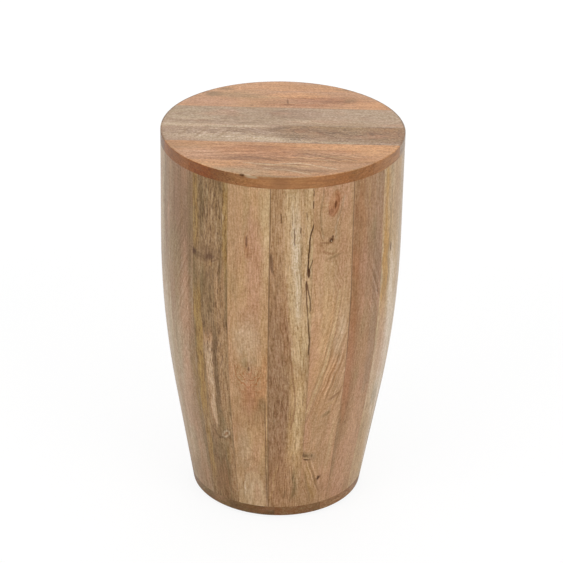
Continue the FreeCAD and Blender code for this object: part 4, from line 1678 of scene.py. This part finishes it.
@dataclass
class HiddenFittings(Assembly):
    """The plugs inside the drum, the fasteners, and the glides under the base."""

    plugs: tuple[str, ...] = ("top_plug", "base_plug")
    fasteners: tuple[str, ...] = ("top_screws", "base_screws", "glide_nails")
    glide_count: int = 4

    def coats(self) -> Iterator[tuple[str, bpy.types.Material]]:
        """Makes one material for each kind of fitting.

        Returns:
            The fittings' names with their materials.
        """
        glides = tuple(f"floor_glide_{number:02d}" for number in range(1, self.glide_count + 1))
        for finish, names in ((Plywood(), self.plugs), (ZincSteel(), self.fasteners), (Nylon(), glides)):
            material = finish.material()
            for name in names:
                yield name, material


@dataclass
class Studio:
    """A white studio: floor, soft lamps and a camera at the photograph's viewing angle."""

    aim: Triple = (0.00184, 0.0, 0.2862)
    azimuth: float = 0.7
    elevation: float = 26.91
    roll: float = 1.12
    distance: float = 2.982
    lens: float = 149.34
    sensor: float = 36.0
    floor_size: float = 6.0
    floor_cells: int = 8
    floor_drop: float = 0.0003
    floor_glow: float = 1.04
    shadow_keep: float = 0.15
    shadow_from: float = 0.6
    shadow_to: float = 1.4
    ambient: float = 0.46
    background: float = 1.0
    matt_lamps: tuple[str, ...] = ("left_softbox", "right_softbox", "back_softbox")
    lamps: tuple[tuple[str, Triple, float, float], ...] = (
        ("overhead_softbox", (0.0, -0.3, 2.6), 2.0, 18.0),
        ("left_softbox", (-2.0, -1.9, 1.5), 1.8, 22.0),
        ("right_softbox", (2.0, -1.9, 1.5), 1.8, 22.0),
        ("back_softbox", (0.0, 2.6, 1.6), 2.0, 17.0),
    )

    def build(self) -> None:
        """Makes the floor, lamps, world and camera."""
        self.lay_floor()
        self.hang_lamps()
        self.light_world()
        self.set_camera()
        bpy.context.scene.view_settings.view_transform = "Standard"

    def lay_floor(self) -> None:
        """Lays a pale floor with its paint."""
        mesh = bpy.data.meshes.new("studio_floor")
        shape = bmesh.new()
        bmesh.ops.create_grid(shape, x_segments=self.floor_cells, y_segments=self.floor_cells,
                              size=self.floor_size / 2.0)
        bmesh.ops.translate(shape, verts=shape.verts, vec=(0.0, 0.0, -self.floor_drop))
        shape.to_mesh(mesh)
        shape.free()
        floor = bpy.data.objects.new("studio_floor", mesh)
        bpy.context.scene.collection.objects.link(floor)
        mesh.materials.append(self.floor_paint())

    def floor_paint(self) -> bpy.types.Material:
        """Makes a paint that is nearly white to the camera, keeps the shadow, and is clear from below.

        Returns:
            The material.
        """
        material = bpy.data.materials.new("studio_floor_paint")
        tree = ShaderTree(material)
        paint = tree.node("ShaderNodeBsdfDiffuse", None, {"Color": Tone.FLOOR})
        glow = tree.node("ShaderNodeEmission", None, {"Color": Tone.WHITE, "Strength": self.floor_glow})
        length = tree.node("ShaderNodeVectorMath", {"operation": "LENGTH"}, {0: tree.place(1.0)})
        away = tree.value(length, "Value")
        keep = away.falling(self.shadow_from, self.shadow_to) * self.shadow_keep
        seen = tree.value(tree.node("ShaderNodeLightPath"), "Is Camera Ray") * (1.0 - keep)
        below = tree.value(tree.node("ShaderNodeNewGeometry"), "Backfacing")
        clear = tree.node("ShaderNodeBsdfTransparent")
        tree.show(tree.mixed(below, tree.mixed(seen, paint, glow), clear))
        return material

    def hang_lamps(self) -> None:
        """Hangs each soft lamp and aims it at the table."""
        for name, place, size, power in self.lamps:
            light = bpy.data.lights.new(name, "AREA")
            light.size = size
            light.energy = power
            lamp = bpy.data.objects.new(name, light)
            lamp.location = place
            lamp.visible_glossy = name not in self.matt_lamps
            lamp.rotation_euler = (Vector(self.aim) - Vector(place)).to_track_quat("-Z", "Y").to_euler()
            bpy.context.scene.collection.objects.link(lamp)

    def light_world(self) -> None:
        """Makes the world white to the camera and in reflections, and a soft grey light elsewhere."""
        world = bpy.data.worlds.new("studio_world")
        bpy.context.scene.world = world
        tree = ShaderTree(world)
        soft = tree.node("ShaderNodeBackground", None, {"Color": Tone.WHITE, "Strength": self.ambient})
        white = tree.node("ShaderNodeBackground", None, {"Color": Tone.WHITE, "Strength": self.background})
        path = tree.node("ShaderNodeLightPath")
        seen = tree.value(path, "Is Camera Ray").most(tree.value(path, "Is Glossy Ray"))
        seen = seen.most(tree.value(path, "Is Transmission Ray"))
        tree.show(tree.mixed(seen, soft, white), "ShaderNodeOutputWorld")

    def set_camera(self) -> None:
        """Sets the camera on its sphere round the aim, with its slight roll."""
        turn, rise = math.radians(self.azimuth), math.radians(self.elevation)
        back = Vector((math.sin(turn) * math.cos(rise), -math.cos(turn) * math.cos(rise), math.sin(rise)))
        lens = bpy.data.cameras.new("photo_camera")
        lens.lens = self.lens
        lens.sensor_width = self.sensor
        lens.sensor_fit = "HORIZONTAL"
        camera = bpy.data.objects.new("photo_camera", lens)
        camera.location = Vector(self.aim) + back * self.distance
        look = (-back).to_track_quat("-Z", "Y")
        level = look @ Quaternion((0.0, 0.0, 1.0), math.radians(self.roll))
        camera.rotation_euler = level.to_euler()
        bpy.context.scene.collection.objects.link(camera)
        bpy.context.scene.camera = camera


def main() -> None:
    """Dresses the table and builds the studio."""
    logging.basicConfig(level=logging.INFO, format="%(name)s: %(message)s")
    for assembly in (StaveDrum(), BoardedTop(), BoardedBase(), HiddenFittings()):
        for name in assembly.dress():
            LOG.info("%s: dressed %s", type(assembly).__name__, name)
    Studio().build()


if __name__ == "__main__":
    main()
